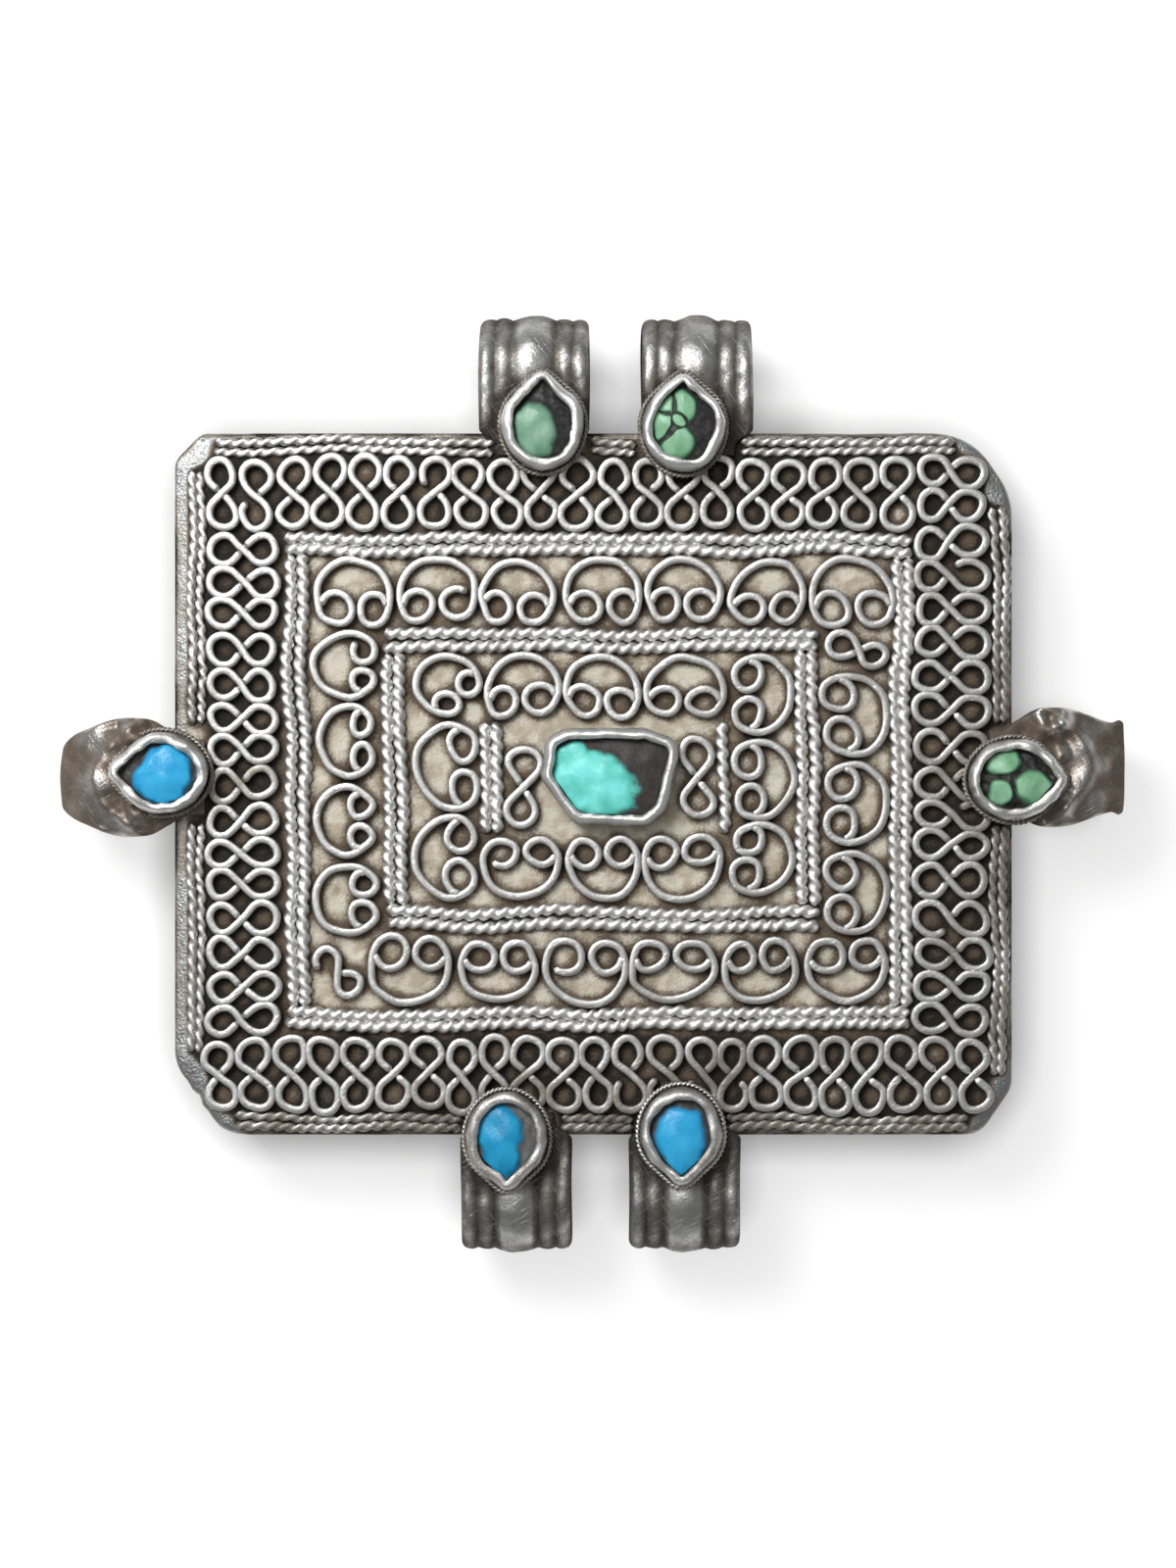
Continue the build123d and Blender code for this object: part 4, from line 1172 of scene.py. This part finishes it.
def strap_grid(tab, half_widths, height_of):
    """Grid of a strap in its own frame: x along the box's edge, y outwards, z up.

    The columns run over the outer side and back along the inner side:
    point = inner side + direction out of the strap * height.
    """
    run, outward, up, lean_out, lean_up = strap_rows(tab)
    over = np.sin(np.linspace(-np.pi / 2, np.pi / 2, TOP_COLUMNS))
    under = np.linspace(1, -1, UNDER_COLUMNS + 2)[1:-1]
    half = half_widths(run)
    x = half * np.concatenate([over, under])
    top = np.concatenate([np.ones(TOP_COLUMNS), np.zeros(UNDER_COLUMNS)])
    height = top * (height_of(run, x) - eased_edge(x, half))
    return np.stack([x, outward + lean_out * height, up + lean_up * height], -1), run, top


def seated(grid, side, middle):
    """A loop's own frame turned and moved to its place at a side of the box, as plan points and heights."""
    along, across = axes_of(side)
    out_of = OUT_OF[side]
    seat = plan_point(along, middle, (out_of.real + out_of.imag) * face_high[across])
    return seat + out_of * (grid[..., 1] - 1j * grid[..., 0]), grid[..., 2]


print("strap:", FLAT_ROWS + RING_ROWS, "rows of", TOP_COLUMNS + UNDER_COLUMNS)

# %% Shapes of the six loops
REEDED_HALF, SIDE_HALF = 4.95, 3.9
SHOULDER_AT, SHOULDER_REACH, SHOULDER_FAR, SHOULDER_WIDER = 3.1, 2.5, 4.4, 1.4
FOLD_AT, FOLD_WIDTH, FOLD_HEIGHT = 6.5, 0.6, 0.4
END_DRAWN_IN, TAB_DRAWN_IN, SIDE_TAB_DRAWN_IN = 1.3, 1.6, 0.6
LIP_RUN, LIP_WIDTH, LIP_HEIGHT, LIP_FLARE = LOOP_OUT + LOOP_BORE * math.radians(66), 0.5, 0.34, 0.3
LUMP_HEIGHT, CREASE_HEIGHT = 0.85, 0.3


def on_tab(run):
    """0 along the loop and 1 on the tab over the face, with a soft change where it crosses the rim."""
    return smooth_step(-run, -0.3, 1.2)


def reeded_strap(seed):
    """Half width and height of a reeded strap, with the small dents of use."""
    def half_widths(run):
        """The plain half width with a slow wave along the strap, drawn in on the tab."""
        return REEDED_HALF + 0.05 * np.sin(run / 2 + seed) - TAB_DRAWN_IN * on_tab(run)

    def height_of(run, x):
        """The strap plus its beads, flatter towards the tab, plus dents and the barrel of the ring."""
        flattened = 1 - 0.45 * smooth_step(-run, -3.5, 0.5)
        barrel = 0.3 * (1 - (x / REEDED_HALF) ** 4) * smooth_step(run, 4.0, 9.0)
        return STRAP + reeded(x) * flattened + dented(run + 1j * x, STRAP_DENTS, seed) + barrel

    return half_widths, height_of


def crumpled_strap(seed, lip):
    """Half width and height of a plain side strap: broad shoulders, a narrower ring, lumps and creases."""
    def half_widths(run):
        """The plain half width plus shoulders and lip, less what is drawn in on the tab and the ring."""
        reach = np.where(run > SHOULDER_AT, SHOULDER_FAR, SHOULDER_REACH)
        flare = LIP_FLARE * lip * bell(run, LIP_RUN, LIP_WIDTH)
        wider = SHOULDER_WIDER * bell(run, SHOULDER_AT, reach, 3) + flare
        narrower = SIDE_TAB_DRAWN_IN * on_tab(run) + END_DRAWN_IN * (1 - lip) * smooth_step(run, 8.2, 12.0)
        return SIDE_HALF + wider - narrower + 0.06 * np.sin(run * 0.9 + seed)

    def height_of(run, x):
        """The strap plus a crown across it, lumps on the shoulders, creases, a fold, a lip and dents."""
        at = run + 1j * x
        lumps = bell(run, SHOULDER_AT, 1.8) * bell(np.abs(x), 3.7, 1.1)
        creases = ripple(at, 3.0, seed) + (0.5 - 0.25 * lip) * ripple(at, 1.4, seed + 2)
        creases = creases * bell(run, 3.4, 2.8)
        edge_lip = lip * LIP_HEIGHT * bell(run, LIP_RUN, LIP_WIDTH)
        fold = bell(run + 0.14 * x**2, FOLD_AT, FOLD_WIDTH)
        crown = (0.55 - 0.3 * lip) * np.clip(1 - (x / 4.2) ** 2, 0, 1)
        bends = LUMP_HEIGHT * lumps + CREASE_HEIGHT * creases + FOLD_HEIGHT * fold
        return STRAP + 0.05 + crown + bends + edge_lip + 0.06 * ripple(at, 5.0, seed + 1)

    return half_widths, height_of


print("the right loop's lip lies", round(LIP_RUN, 2), "mm along its strap")

# %% Six loops in place
BEZEL_HALF, BEZEL_REACH = 3.55, 3.9
# recess shift per loop: bottom loops darker, side loops a little lighter; bottom loops get darker grooves
# and brighter crests
LOOP_TONE_SHIFT = {"bottom_left": 0.19, "bottom_right": 0.19, "left": -0.05, "right": -0.02}
GROOVE_CONTRAST = {"bottom_left": 0.22, "bottom_right": 0.22}
UNDERSIDE_RECESS = 0.9
GROOVE_RECESS, CREST_RUBBED, CREST_AT = 0.66, 0.56, 0.3
settings = {}
for seed, (name, side) in enumerate(LOOP_SIDES.items(), 81):
    low, high = box_mm(f"loop_{name}")
    along, across = axes_of(side)
    out_of = OUT_OF[side]
    outer_sign = out_of.real + out_of.imag
    tab = face_high[across] + (high[across] if outer_sign < 0 else -low[across])
    shape = crumpled_strap(seed, float(name == "right")) if along else reeded_strap(seed)
    grid, run, top = strap_grid(tab, *shape)
    flat, height = seated(grid, side, (low[along] + high[along]) / 2)
    # the setting's round end is one half width inside its box, on the side that faces the box's middle
    bezel_low, bezel_high = box_mm(f"bezel_{name}")
    round_end = (bezel_low if outer_sign > 0 else bezel_high)[across] + BEZEL_HALF * outer_sign
    centre = plan_point(along, (bezel_low[along] + bezel_high[along]) / 2, round_end)
    settings[name] = (centre, out_of, bezel_low[2])
    crest = reeded(grid[..., 0]) / CREST_AT
    if along:
        crest = 0.6 + 0.4 * ripple(run + 1j * grid[..., 0], 3.0, seed)
    crest = np.clip(crest, 0, 1)
    # painted reflection: the far ends of the straps, which turn outwards, are darkened as if mirroring dark
    # surroundings
    far_end_reflection = 0.75 * smooth_step(run, 6.6, 10.0) if along else 0.5 * smooth_step(run, 7.4, 11.0)
    at_rim = 0.25 * smooth_step(-run, -4.5, -1.0) + 0.3 * smooth_step(-run, -1.4, 0.2)
    beside = 0.6 * bell(np.clip(np.abs(flat - centre) - BEZEL_REACH, 0, None), 0, 1.1)
    recess = GROOVE_RECESS - CREST_RUBBED * crest + beside + at_rim + far_end_reflection
    recess = recess + GROOVE_CONTRAST.get(name, 0.0) * (1 - 2 * crest)
    recess = np.where(top > 0, recess + LOOP_TONE_SHIFT.get(name, 0.0), UNDERSIDE_RECESS)
    finish = side_silver if along else worn_silver
    add_piece(f"loop_{name}", [skin(lifted(flat, height))], finish, "worn_silver", recess=recess)
print_made("loop")
print("settings at", {name: np.round(centre, 2) for name, (centre, _, _) in settings.items()})

# %% [markdown]
# ## Settings for the stones
# A bezel is a strip of silver bent round the stone and burnished over its edge, so its rim is thick, round
# and never even. The small ones are drop shaped, which is the outline round two circles, a large one that
# is stretched at its far end and a small one at the tip. A cup is that outline carried over a profile: out
# along the floor, up the outside, over the rim and down inside.

# %% Cups over an outline
DROP_ROUND, DROP_TIP, TIP_AT, DROP_STRETCH = 2.8, 0.25, 3.45, 1.22
RIM_WAVES = ((1.0, 3.2), (0.5, 1.1))
AROUND = 120


def drop_outline():
    """Outline round two circles: a large arc below, stretched, a small arc at the tip, and straight runs."""
    lean = math.degrees(math.asin((DROP_ROUND - DROP_TIP) / TIP_AT))
    large = arc(0, DROP_ROUND, 180 - lean, 180 + 2 * lean, 60)
    large = large.real + 1j * large.imag * np.where(large.imag < 0, DROP_STRETCH, 1.0)
    tip = arc(1j * TIP_AT, DROP_TIP, lean, 180 - 2 * lean, 15)
    return np.concatenate([large, tip])


def raised(outline, outwards, profile, middle, level):
    """Outline carried over a profile of (share of the way from the middle, step outwards, height)."""
    share, step, up = np.array(profile).T[..., None]
    return lifted(middle + (outline - middle) * share + outwards * step, up) + [0, 0, level]


def cup_profile(height, wall, rim_in):
    """Profile of a cup: a thin floor, a wall that swells over its collar, a rim rolled over the stone."""
    return [
        (0.02, 0.0, 0.0), (1.0, wall - 0.1, 0.0), (1.0, wall, 0.1), (1.0, wall, 0.6),
        (1.0, wall + 0.06, 0.75), (1.0, wall + 0.1, 0.42 * height),
        (1.0, wall + 0.1, 0.58 * height), (1.0, wall + 0.06, 0.74 * height),
        (1.0, wall - 0.03, 0.87 * height), (1.0, wall - 0.2, 0.96 * height),
        (1.0, wall - 0.42, height), (1.0, wall - 0.66, 0.99 * height),
        (1.0, -0.8 * rim_in, 0.95 * height), (1.0, -rim_in, 0.88 * height),
        (1.0, -0.8 * rim_in, 0.78 * height), (1.0, -0.1, 0.6 * height),
        (1.0, 0.0, 0.4), (0.02, 0.0, 0.4),
    ]


CUP_RECESS = np.array([1, 1, 1, 1, 0.9, 0.68, 0.45, 0.22, 0.06, 0, 0, 0, 0.05, 0.3, 0.8, 1, 1, 1])[:, None]
CUP_GIVE = np.array([0, 0, 0, 0, 0.2, 0.4, 0.6, 0.8, 1, 1, 1, 1, 1, 1, 0.8, 0.2, 0, 0])[:, None]


def bezel_piece(name, outline, outwards, profile, middle, level, seed, give, dull=0.0):
    """Cup whose rim is uneven: a ripple moves it in and out and up and down, most where the cup can give."""
    grid = raised(outline, outwards, profile, middle, level)
    push_aside(grid, give * CUP_GIVE * dented(grid, RIM_WAVES, seed) * outwards)
    grid[..., 2] += 0.7 * give * CUP_GIVE * ripple(grid, 2.4, seed + 2)
    recess = np.broadcast_to(CUP_RECESS, grid.shape[:2]) + dull
    add_piece(name, [skin(grid)], rim_silver, "worn_silver", recess=recess)


print("profile of a cup:", len(CUP_RECESS), "points")

# %% Six drop-shaped bezels and their twisted collars
BEZEL_HEIGHT, BEZEL_WALL, RIM_IN, BEZEL_GIVE = 2.4, 0.75, 0.1, 0.11
COLLAR, COLLAR_BEAD, COLLAR_ROWS, COLLAR_WORN = 0.5, 0.42, 300, 0.6
# collars and bezels darker at the bottom and sides
COLLAR_DULL = {"bottom_left": 0.3, "bottom_right": 0.12}
BEZEL_DULL = {"bottom_left": 0.3, "bottom_right": 0.26, "left": 0.1, "right": 0.14}
CUP_MIDDLE = 0.4
drop, drop_out = equal_steps(drop_outline(), AROUND)
cup = cup_profile(BEZEL_HEIGHT, BEZEL_WALL, RIM_IN)
cups = {}
for seed, (name, (centre, out_of, level)) in enumerate(settings.items(), 101):
    turned = -1j * out_of
    outline, outline_out = centre + turned * drop, turned * drop_out
    cups[name] = (centre, outline, outline_out, level)
    middle, dull = centre + CUP_MIDDLE * out_of, BEZEL_DULL.get(name, 0.0)
    bezel_piece(f"bezel_{name}", outline, outline_out, cup, middle, level, seed, BEZEL_GIVE, dull)
    path, _ = equal_steps(outline + outline_out * (BEZEL_WALL + WIRE_GAP + COLLAR / 2), COLLAR_ROWS)
    turns = round(np.abs(np.diff(path)).sum() / (2 * COLLAR_BEAD))
    grid, recess = twisted_rope(path, level, COLLAR, turns, COLLAR_WORN, ring=True)
    recess = COLLAR_DULL.get(name, 0.5) + 0.5 * recess
    add_piece(f"collar_{name}", [skin(grid, ring_rows=True)], wire_silver, "wire_silver", recess=recess)
print_made("bezel")

# %% The bezel in the middle of the face
CENTRE_CORNERS = np.array([
    -5.3 + 0.4j, -2.8 - 3.1j, 3.0 - 3.3j, 4.2 - 2.3j, 5.4 + 2.9j, 3.0 + 3.75j, -3.7 + 3.75j, -4.9 + 3.2j,
])
CENTRE_ROUND, CENTRE_RIM_IN, CENTRE_GIVE = 0.7, 0.12, 0.06
low, high = box_mm("centre_bezel")
centre_level, centre_height = low[2], high[2] - low[2]
centre_place = low[0] + BEZEL_WALL - CENTRE_CORNERS.real.min()
centre_place = centre_place + 1j * (low[1] + BEZEL_WALL - CENTRE_CORNERS.imag.min())
centre_outline = rounded_polygon(CENTRE_CORNERS, CENTRE_ROUND) + centre_place
centre_plan, centre_out = equal_steps(centre_outline, 2 * AROUND)
cup = cup_profile(centre_height, BEZEL_WALL, CENTRE_RIM_IN)
bezel_piece("centre_bezel", centre_plan, centre_out, cup, centre_place, centre_level, 121, CENTRE_GIVE)
print("centre bezel at", np.round(centre_place, 2))

# %% [markdown]
# ## Turquoise
# The stones are old turquoise, from green to sky blue, with the dark rock that it grew in still showing.
# Where that rock lies is different in each, so each stone lists its patches of turquoise as ellipses. One
# field is made from them: it raises the patches into low domes and it tells the finish where to turn dark.
# In a cracked stone the field is also high along the seams between patches. The finish adds clouding and
# specks.

# %% Turquoise group
CLOUDS_PER_MM, SPECKS_PER_MM = 0.5, 3.0
PALE_FROM, PALE_FULL = 0.25, 0.70
DARK_FROM, DARK_FULL = 0.42, 1.15
STONE_ROUGH, ROCK_ROUGHER = 0.26, 0.18
stone_inputs = {"Place": "Vector", "Rock": "Float", "Deep": "Color", "Pale": "Color", "Matrix": "Color"}
stone_outputs = {"Colour": "Color", "Roughness": "Float", "Height": "Float"}
stone_group, ends, out = new_group("turquoise", stone_inputs, stone_outputs)
clouding = cloud(stone_group, ends["Place"], CLOUDS_PER_MM, 2.0)
fine = cloud(stone_group, ends["Place"], SPECKS_PER_MM, 4.0)
# the colour deepens towards the rock: painted shade where the domes slope down; paleness elsewhere follows
# random clouding
shaded = maths(stone_group, "MULTIPLY_ADD", ends["Rock"], -0.5, clouding)
paler = between(stone_group, shaded, PALE_FROM, PALE_FULL)
colour = blend_colours(stone_group, paler, ends["Deep"], ends["Pale"])
rock = maths(stone_group, "MULTIPLY_ADD", fine, 0.5, ends["Rock"])
dark = between(stone_group, rock, DARK_FROM, DARK_FULL)
speckled = blend_colours(stone_group, fine, ends["Matrix"], maths(stone_group, "MULTIPLY", fine, 0.12))
link_all(
    stone_group, out,
    Colour=blend_colours(stone_group, dark, colour, speckled),
    Roughness=maths(stone_group, "MULTIPLY_ADD", dark, ROCK_ROUGHER, STONE_ROUGH),
    Height=maths(stone_group, "MULTIPLY_ADD", dark, -1.0, fine),
)
print("group:", stone_group.name)

# %% Finishes of the stones and the lac
STONE_SHINE, STONE_BUMP = 0.28, 0.04
LAC_DARK, LAC_DUSTY = (0.012, 0.009, 0.007), (0.09, 0.07, 0.055)
CRUMBS_PER_MM, LAC_BUMP = 2.2, 0.15


def turquoise(name, middle, deep, pale, matrix):
    """Finish of one stone: the turquoise group with its own colours, centred on the stone."""
    finish, tree, shader = new_finish(name)
    stone = use_group(
        tree, stone_group, Place=millimetres(tree, middle), Rock=read_field(tree, "rock"),
        Deep=deep, Pale=pale, Matrix=matrix,
    )
    shader["Specular IOR Level"].default_value = STONE_SHINE
    link_all(
        tree, shader, Base_Color=stone["Colour"], Roughness=stone["Roughness"],
        Normal=relief(tree, stone["Height"], STONE_BUMP),
    )
    return finish


lac_finish, tree, shader = new_finish("lac")
crumbs = cloud(tree, millimetres(tree), CRUMBS_PER_MM, 4.0)
link_all(
    tree, shader,
    Base_Color=blend_colours(tree, crumbs, LAC_DARK, LAC_DUSTY),
    Roughness=between(tree, crumbs, 0.3, 0.7, 0.35, 0.75),
    Normal=relief(tree, crumbs, LAC_BUMP),
)
print("finish:", lac_finish.name)

# %% Patches of the stones
BLACK_ROCK, BROWN_ROCK, GREY_ROCK = (0.018, 0.018, 0.018), (0.062, 0.046, 0.042), (0.12, 0.12, 0.115)
PALE_ROCK = (0.30, 0.31, 0.30)
SKY, SKY_PALE = (0.030, 0.40, 0.78), (0.055, 0.52, 0.90)
BLUE, BLUE_PALE = (0.014, 0.28, 0.54), (0.030, 0.42, 0.74)
GREEN, GREEN_PALE = (0.17, 0.42, 0.23), (0.33, 0.62, 0.40)
SAGE, SAGE_PALE = (0.17, 0.36, 0.24), (0.29, 0.50, 0.37)
MINT, MINT_PALE = (0.13, 0.70, 0.60), (0.27, 0.97, 0.91)

# each stone: slot, deep and pale colour, rock colour, whether cracks part its patches, depth of the rock
# below the patches, and the patches as (x, y, half width, half height, turn in degrees) from its middle
STONES = {
    "top_left": ("green_stone", SAGE, SAGE_PALE, BLACK_ROCK, 0, 0.3, [(-0.78, -0.75, 1.8, 2.4, 12)]),
    "top_right": (
        "green_stone", GREEN, GREEN_PALE, BLACK_ROCK, 1, 0.25,
        [(-2.0, -0.1, 1.1, 1.5, 10), (-0.6, -1.7, 1.5, 1.35, 0), (-1.6, 1.7, 1.05, 1.0, 0),
         (0.1, 1.6, 1.0, 1.4, 20), (-0.4, 0.3, 0.7, 0.75, 0)],
    ),
    "bottom_left": (
        "blue_stone", BLUE, BLUE_PALE, PALE_ROCK, 0, 0.3,
        [(-0.75, 0.9, 2.1, 2.2, 0), (-0.6, -0.9, 1.7, 2.6, 8)],
    ),
    "bottom_right": (
        "blue_stone", SKY, SKY_PALE, GREY_ROCK, 0, 0.3,
        [(-0.07, 0.0, 2.2, 2.4, 0), (0.2, -2.0, 1.6, 1.6, 0)],
    ),
    "left": (
        "sky_stone", SKY, SKY_PALE, GREY_ROCK, 0, 0.4,
        [(0.6, 0.0, 2.2, 2.4, 0), (-0.6, -0.75, 1.8, 1.5, -20),
         (1.0, 1.4, 1.4, 1.4, 0), (0.3, -1.4, 1.9, 1.5, 0)],
    ),
    "right": (
        "green_stone", GREEN, GREEN_PALE, BLACK_ROCK, 1, 0.5,
        [(-1.2, 1.6, 1.5, 1.2, 8), (-1.4, -1.2, 1.05, 1.15, 0), (1.6, -0.75, 1.75, 1.45, -25)],
    ),
    "centre": (
        "brown_stone", MINT, MINT_PALE, BROWN_ROCK, 0, 0.15,
        [(-1.5, -0.35, 3.9, 2.7, -25), (-3.4, 2.3, 1.5, 1.0, 20), (-3.6, 0.3, 1.6, 1.6, 0)],
    ),
}
FAR_OUTSIDE = -9.0


def rock_field(flat, patches, cracked, seed):
    """How far points lie outside all patches: 0 well inside one, 1 well outside, frayed by a ripple.

    In a cracked stone it is also 1 along the seams, where a point lies about as deep in two patches.
    """
    inside = [np.full(flat.shape, FAR_OUTSIDE)]
    for x, y, half_x, half_y, turn in patches:
        local = (flat - x - 1j * y) * np.exp(-1j * math.radians(turn))
        inside.append(1 - np.sqrt((local.real / half_x) ** 2 + (local.imag / half_y) ** 2))
    inside = np.sort(inside, axis=0)
    wave = 0.06 * ripple(flat, 1.8, seed)
    outside = 1 - smooth_step(inside[-1] + wave, -0.26, 0.24)
    seam = 1 - smooth_step(inside[-1] - inside[-2] + 3 * wave, 0.04, 0.44)
    return np.maximum(outside, cracked * seam)


print("stones:", {name: f"{len(stone[-1])} patches" for name, stone in STONES.items()})

# %% [markdown]
# ## Domes and their beds
# Each stone was ground to a low dome and pressed into warm lac, a dark resin that was poured into the cup
# first. The dome fills the bezel's outline from the middle outwards, and is lowered wherever the field says
# that rock shows.

# %% Stones and lac
DOME_ROWS = 44
SINK_ROWS = np.array([(1.0, 0.0), (0.97, 0.35), (0.97, 0.7), (0.02, 0.7)])
STONE_GAP = 0.16
STONE_FOOT = 1.0
STONE_BELOW_RIM, STONE_CROWN = 0.2, 0.55
CENTRE_BELOW_RIM, CENTRE_CROWN = 0.3, 0.6
LAC_PROFILE = [
    (0.02, 0.0, 0.95), (0.8, 0.0, 0.95), (1.0, -0.3, 1.0), (1.0, -0.12, 1.4), (1.0, -0.03, 1.45),
    (1.0, -0.03, 0.45), (0.02, 0.0, 0.45),
]
beds = []


def stone_skin(outline, middle, patches, cracked, level, top, crown, depth, seed):
    """Stone filling an outline: a dome, lowered where the rock shows, with a plain underside.

    The height is top - crown * share^2 - depth * rock, with share the way from the middle to the outline.
    """
    share = np.append(np.linspace(0.015, 1, DOME_ROWS), SINK_ROWS[:, 0])[:, None]
    sunk = np.append(np.zeros(DOME_ROWS), SINK_ROWS[:, 1])[:, None]
    flat = middle + (outline - middle) * share
    rock = rock_field(flat - middle, patches, cracked, seed)
    rough_rock = 0.3 * (depth - 0.15) * rock * ripple(flat, 1.1, seed + 2, 14)
    lumps = 0.04 * ripple(flat, 2.2, seed + 1) + rough_rock
    height = top - crown * share**2 - sunk + (lumps - depth * rock) * (sunk == 0)
    height = np.where(sunk > 0, np.minimum(height, top - crown - depth - sunk), height)
    return skin(lifted(flat, np.maximum(height, level))), rock


def set_stone(node, name, middle, outline, outwards, level, top, crown, seed):
    """A stone in its cup, with a little room all round, and the bed of lac that is pressed up round it."""
    slot, deep, pale, matrix, cracked, depth, patches = STONES[name]
    filled = outline - outwards * STONE_GAP
    dome, rock = stone_skin(filled, middle, patches, cracked, level + STONE_FOOT, top, crown, depth, seed)
    finish = turquoise(node, (middle.real, middle.imag, top), deep, pale, matrix)
    add_piece(node, [dome], finish, slot, rock=rock)
    beds.append(skin(raised(outline, outwards, LAC_PROFILE, middle, level)))


for seed, (name, (centre, outline, outline_out, level)) in enumerate(cups.items(), 131):
    top = level + BEZEL_HEIGHT - STONE_BELOW_RIM
    set_stone(f"stone_{name}", name, centre, outline, outline_out, level, top, STONE_CROWN, seed)
top = centre_level + centre_height - CENTRE_BELOW_RIM
centre_cup = (centre_place, centre_plan, centre_out, centre_level)
set_stone("centre_stone", "centre", *centre_cup, top, CENTRE_CROWN, 141)
add_piece("lac_beds", beds, lac_finish, "lac")
print_made("stone")

# %% [markdown]
# ## Floor and light
# The box lies on a plain white floor under soft light from the upper left, which throws a soft shadow to
# the lower right. The floor's own glow stands for light that reaches it from all round, so it fades beside
# the box: the Ambient Occlusion node measures how open each point is. Two softboxes are square lamps given
# by the brightness of their surface, because silver shows that brightness. The world is grey, dim overhead
# and paler towards the horizon.

# %% Floor
FLOOR_HALF = 4000.0
FLOOR_GLOW = 0.68
FLOOR_GREY, FLOOR_ROUGH = (0.50, 0.50, 0.50, 1), 0.9
OPEN_REACH, OPEN_SAMPLES, OPEN_POWER = 4.5, 8, 2.0
floor_mesh = bpy.data.meshes.new("floor")
corners = np.array([[-1, -1, 0], [1, -1, 0], [1, 1, 0], [-1, 1, 0]]) * FLOOR_HALF * MM
floor_mesh.from_pydata(corners.tolist(), [], [[0, 1, 2, 3]])
floor = bpy.data.objects.new("floor", floor_mesh)
bpy.context.scene.collection.objects.link(floor)
floor_finish, tree, shader = new_finish("white_floor")
shader["Base Color"].default_value = FLOOR_GREY
shader["Roughness"].default_value = FLOOR_ROUGH
shader["Emission Color"].default_value = (1, 1, 1, 1)
rays = add_node(tree, "LightPath").outputs
seen = maths(tree, "MAXIMUM", rays["Is Camera Ray"], rays["Is Glossy Ray"])
seen = maths(tree, "MAXIMUM", seen, rays["Is Transmission Ray"])
# painted shadow: the glow seen by camera and glossy rays is darkened where the box shuts out the
# surroundings
openness = add_node(tree, "AmbientOcclusion", {"samples": OPEN_SAMPLES}, Distance=OPEN_REACH * MM)
openness = maths(tree, "POWER", openness.outputs["AO"], OPEN_POWER)
glow = maths(tree, "MULTIPLY", openness, FLOOR_GLOW)
link_all(tree, shader, Emission_Strength=maths(tree, "MULTIPLY", seen, glow))
floor_mesh.materials.append(floor_finish)
print("floor:", FLOOR_HALF * 2 * MM, "m across")

# %% Softboxes and world
def softbox(name, place, size, brightness):
    """Square lamp that faces the box, with the power that gives its surface a brightness (1 is white)."""
    lamp = bpy.data.lights.new(name, "AREA")
    lamp.size = size
    lamp.energy = brightness * math.pi * size * size
    holder = bpy.data.objects.new(name, lamp)
    bpy.context.scene.collection.objects.link(holder)
    holder.location = place
    back = np.array(place) / np.linalg.norm(place)
    holder.rotation_euler = (math.acos(back[2]), 0, math.atan2(back[0], -back[1]))


KEY_PLACE, KEY_SIZE, KEY_BRIGHTNESS = (-0.138, 0.158, 0.302), 0.131, 14.0
TOP_PLACE, TOP_SIZE, TOP_BRIGHTNESS = (-0.26, 0.30, 1.00), 0.60, 2.2
HORIZON, OVERHEAD = 0.55, 0.22
softbox("key_softbox", KEY_PLACE, KEY_SIZE, KEY_BRIGHTNESS)
softbox("top_softbox", TOP_PLACE, TOP_SIZE, TOP_BRIGHTNESS)
world = bpy.data.worlds.new("studio")
bpy.context.scene.world = world
world.use_nodes = True
tree = world.node_tree
upward = add_node(tree, "SeparateXYZ", Vector=add_node(tree, "TexCoord").outputs["Generated"]).outputs["Z"]
link_all(tree, tree.nodes["Background"].inputs, Color=between(tree, upward, 0.02, 0.35, HORIZON, OVERHEAD))
bpy.context.scene.view_settings.view_transform = "Standard"

# %% [markdown]
# ## Camera
# The picture was taken from straight above. Its scale at the level of the face fixes how the distance and
# the lens go together, for a picture of 1200 by 1600 points. The sensor's 36 mm lie along the longer side.

# %% Camera
IMAGE_WIDTH, IMAGE_HEIGHT = 1200, 1600
POINT_SIZE = 0.0877
FACE_MIDDLE = (605.5, 800.0)
CAMERA_ABOVE = 340.0
CAMERA_PLACE = (
    (IMAGE_WIDTH / 2 - FACE_MIDDLE[0]) * POINT_SIZE,
    (FACE_MIDDLE[1] - IMAGE_HEIGHT / 2) * POINT_SIZE,
    FACE + CAMERA_ABOVE,
)
camera = bpy.data.cameras.new("camera")
camera.sensor_width = 36.0
camera.lens = CAMERA_ABOVE / POINT_SIZE / IMAGE_HEIGHT * camera.sensor_width
camera.clip_start, camera.clip_end = 0.01, 20.0
viewer = bpy.data.objects.new("camera", camera)
bpy.context.scene.collection.objects.link(viewer)
viewer.location = [v * MM for v in CAMERA_PLACE]
bpy.context.scene.camera = viewer
print("camera: lens", round(camera.lens, 1), "mm")

# %% [markdown]
# ## Size and finish
# The dressed box must keep the size of the CAD model. The last line counts the triangles of all pieces.

# %% Finish
print("triangles:", sum(made.values()), "in", len(made), "pieces")
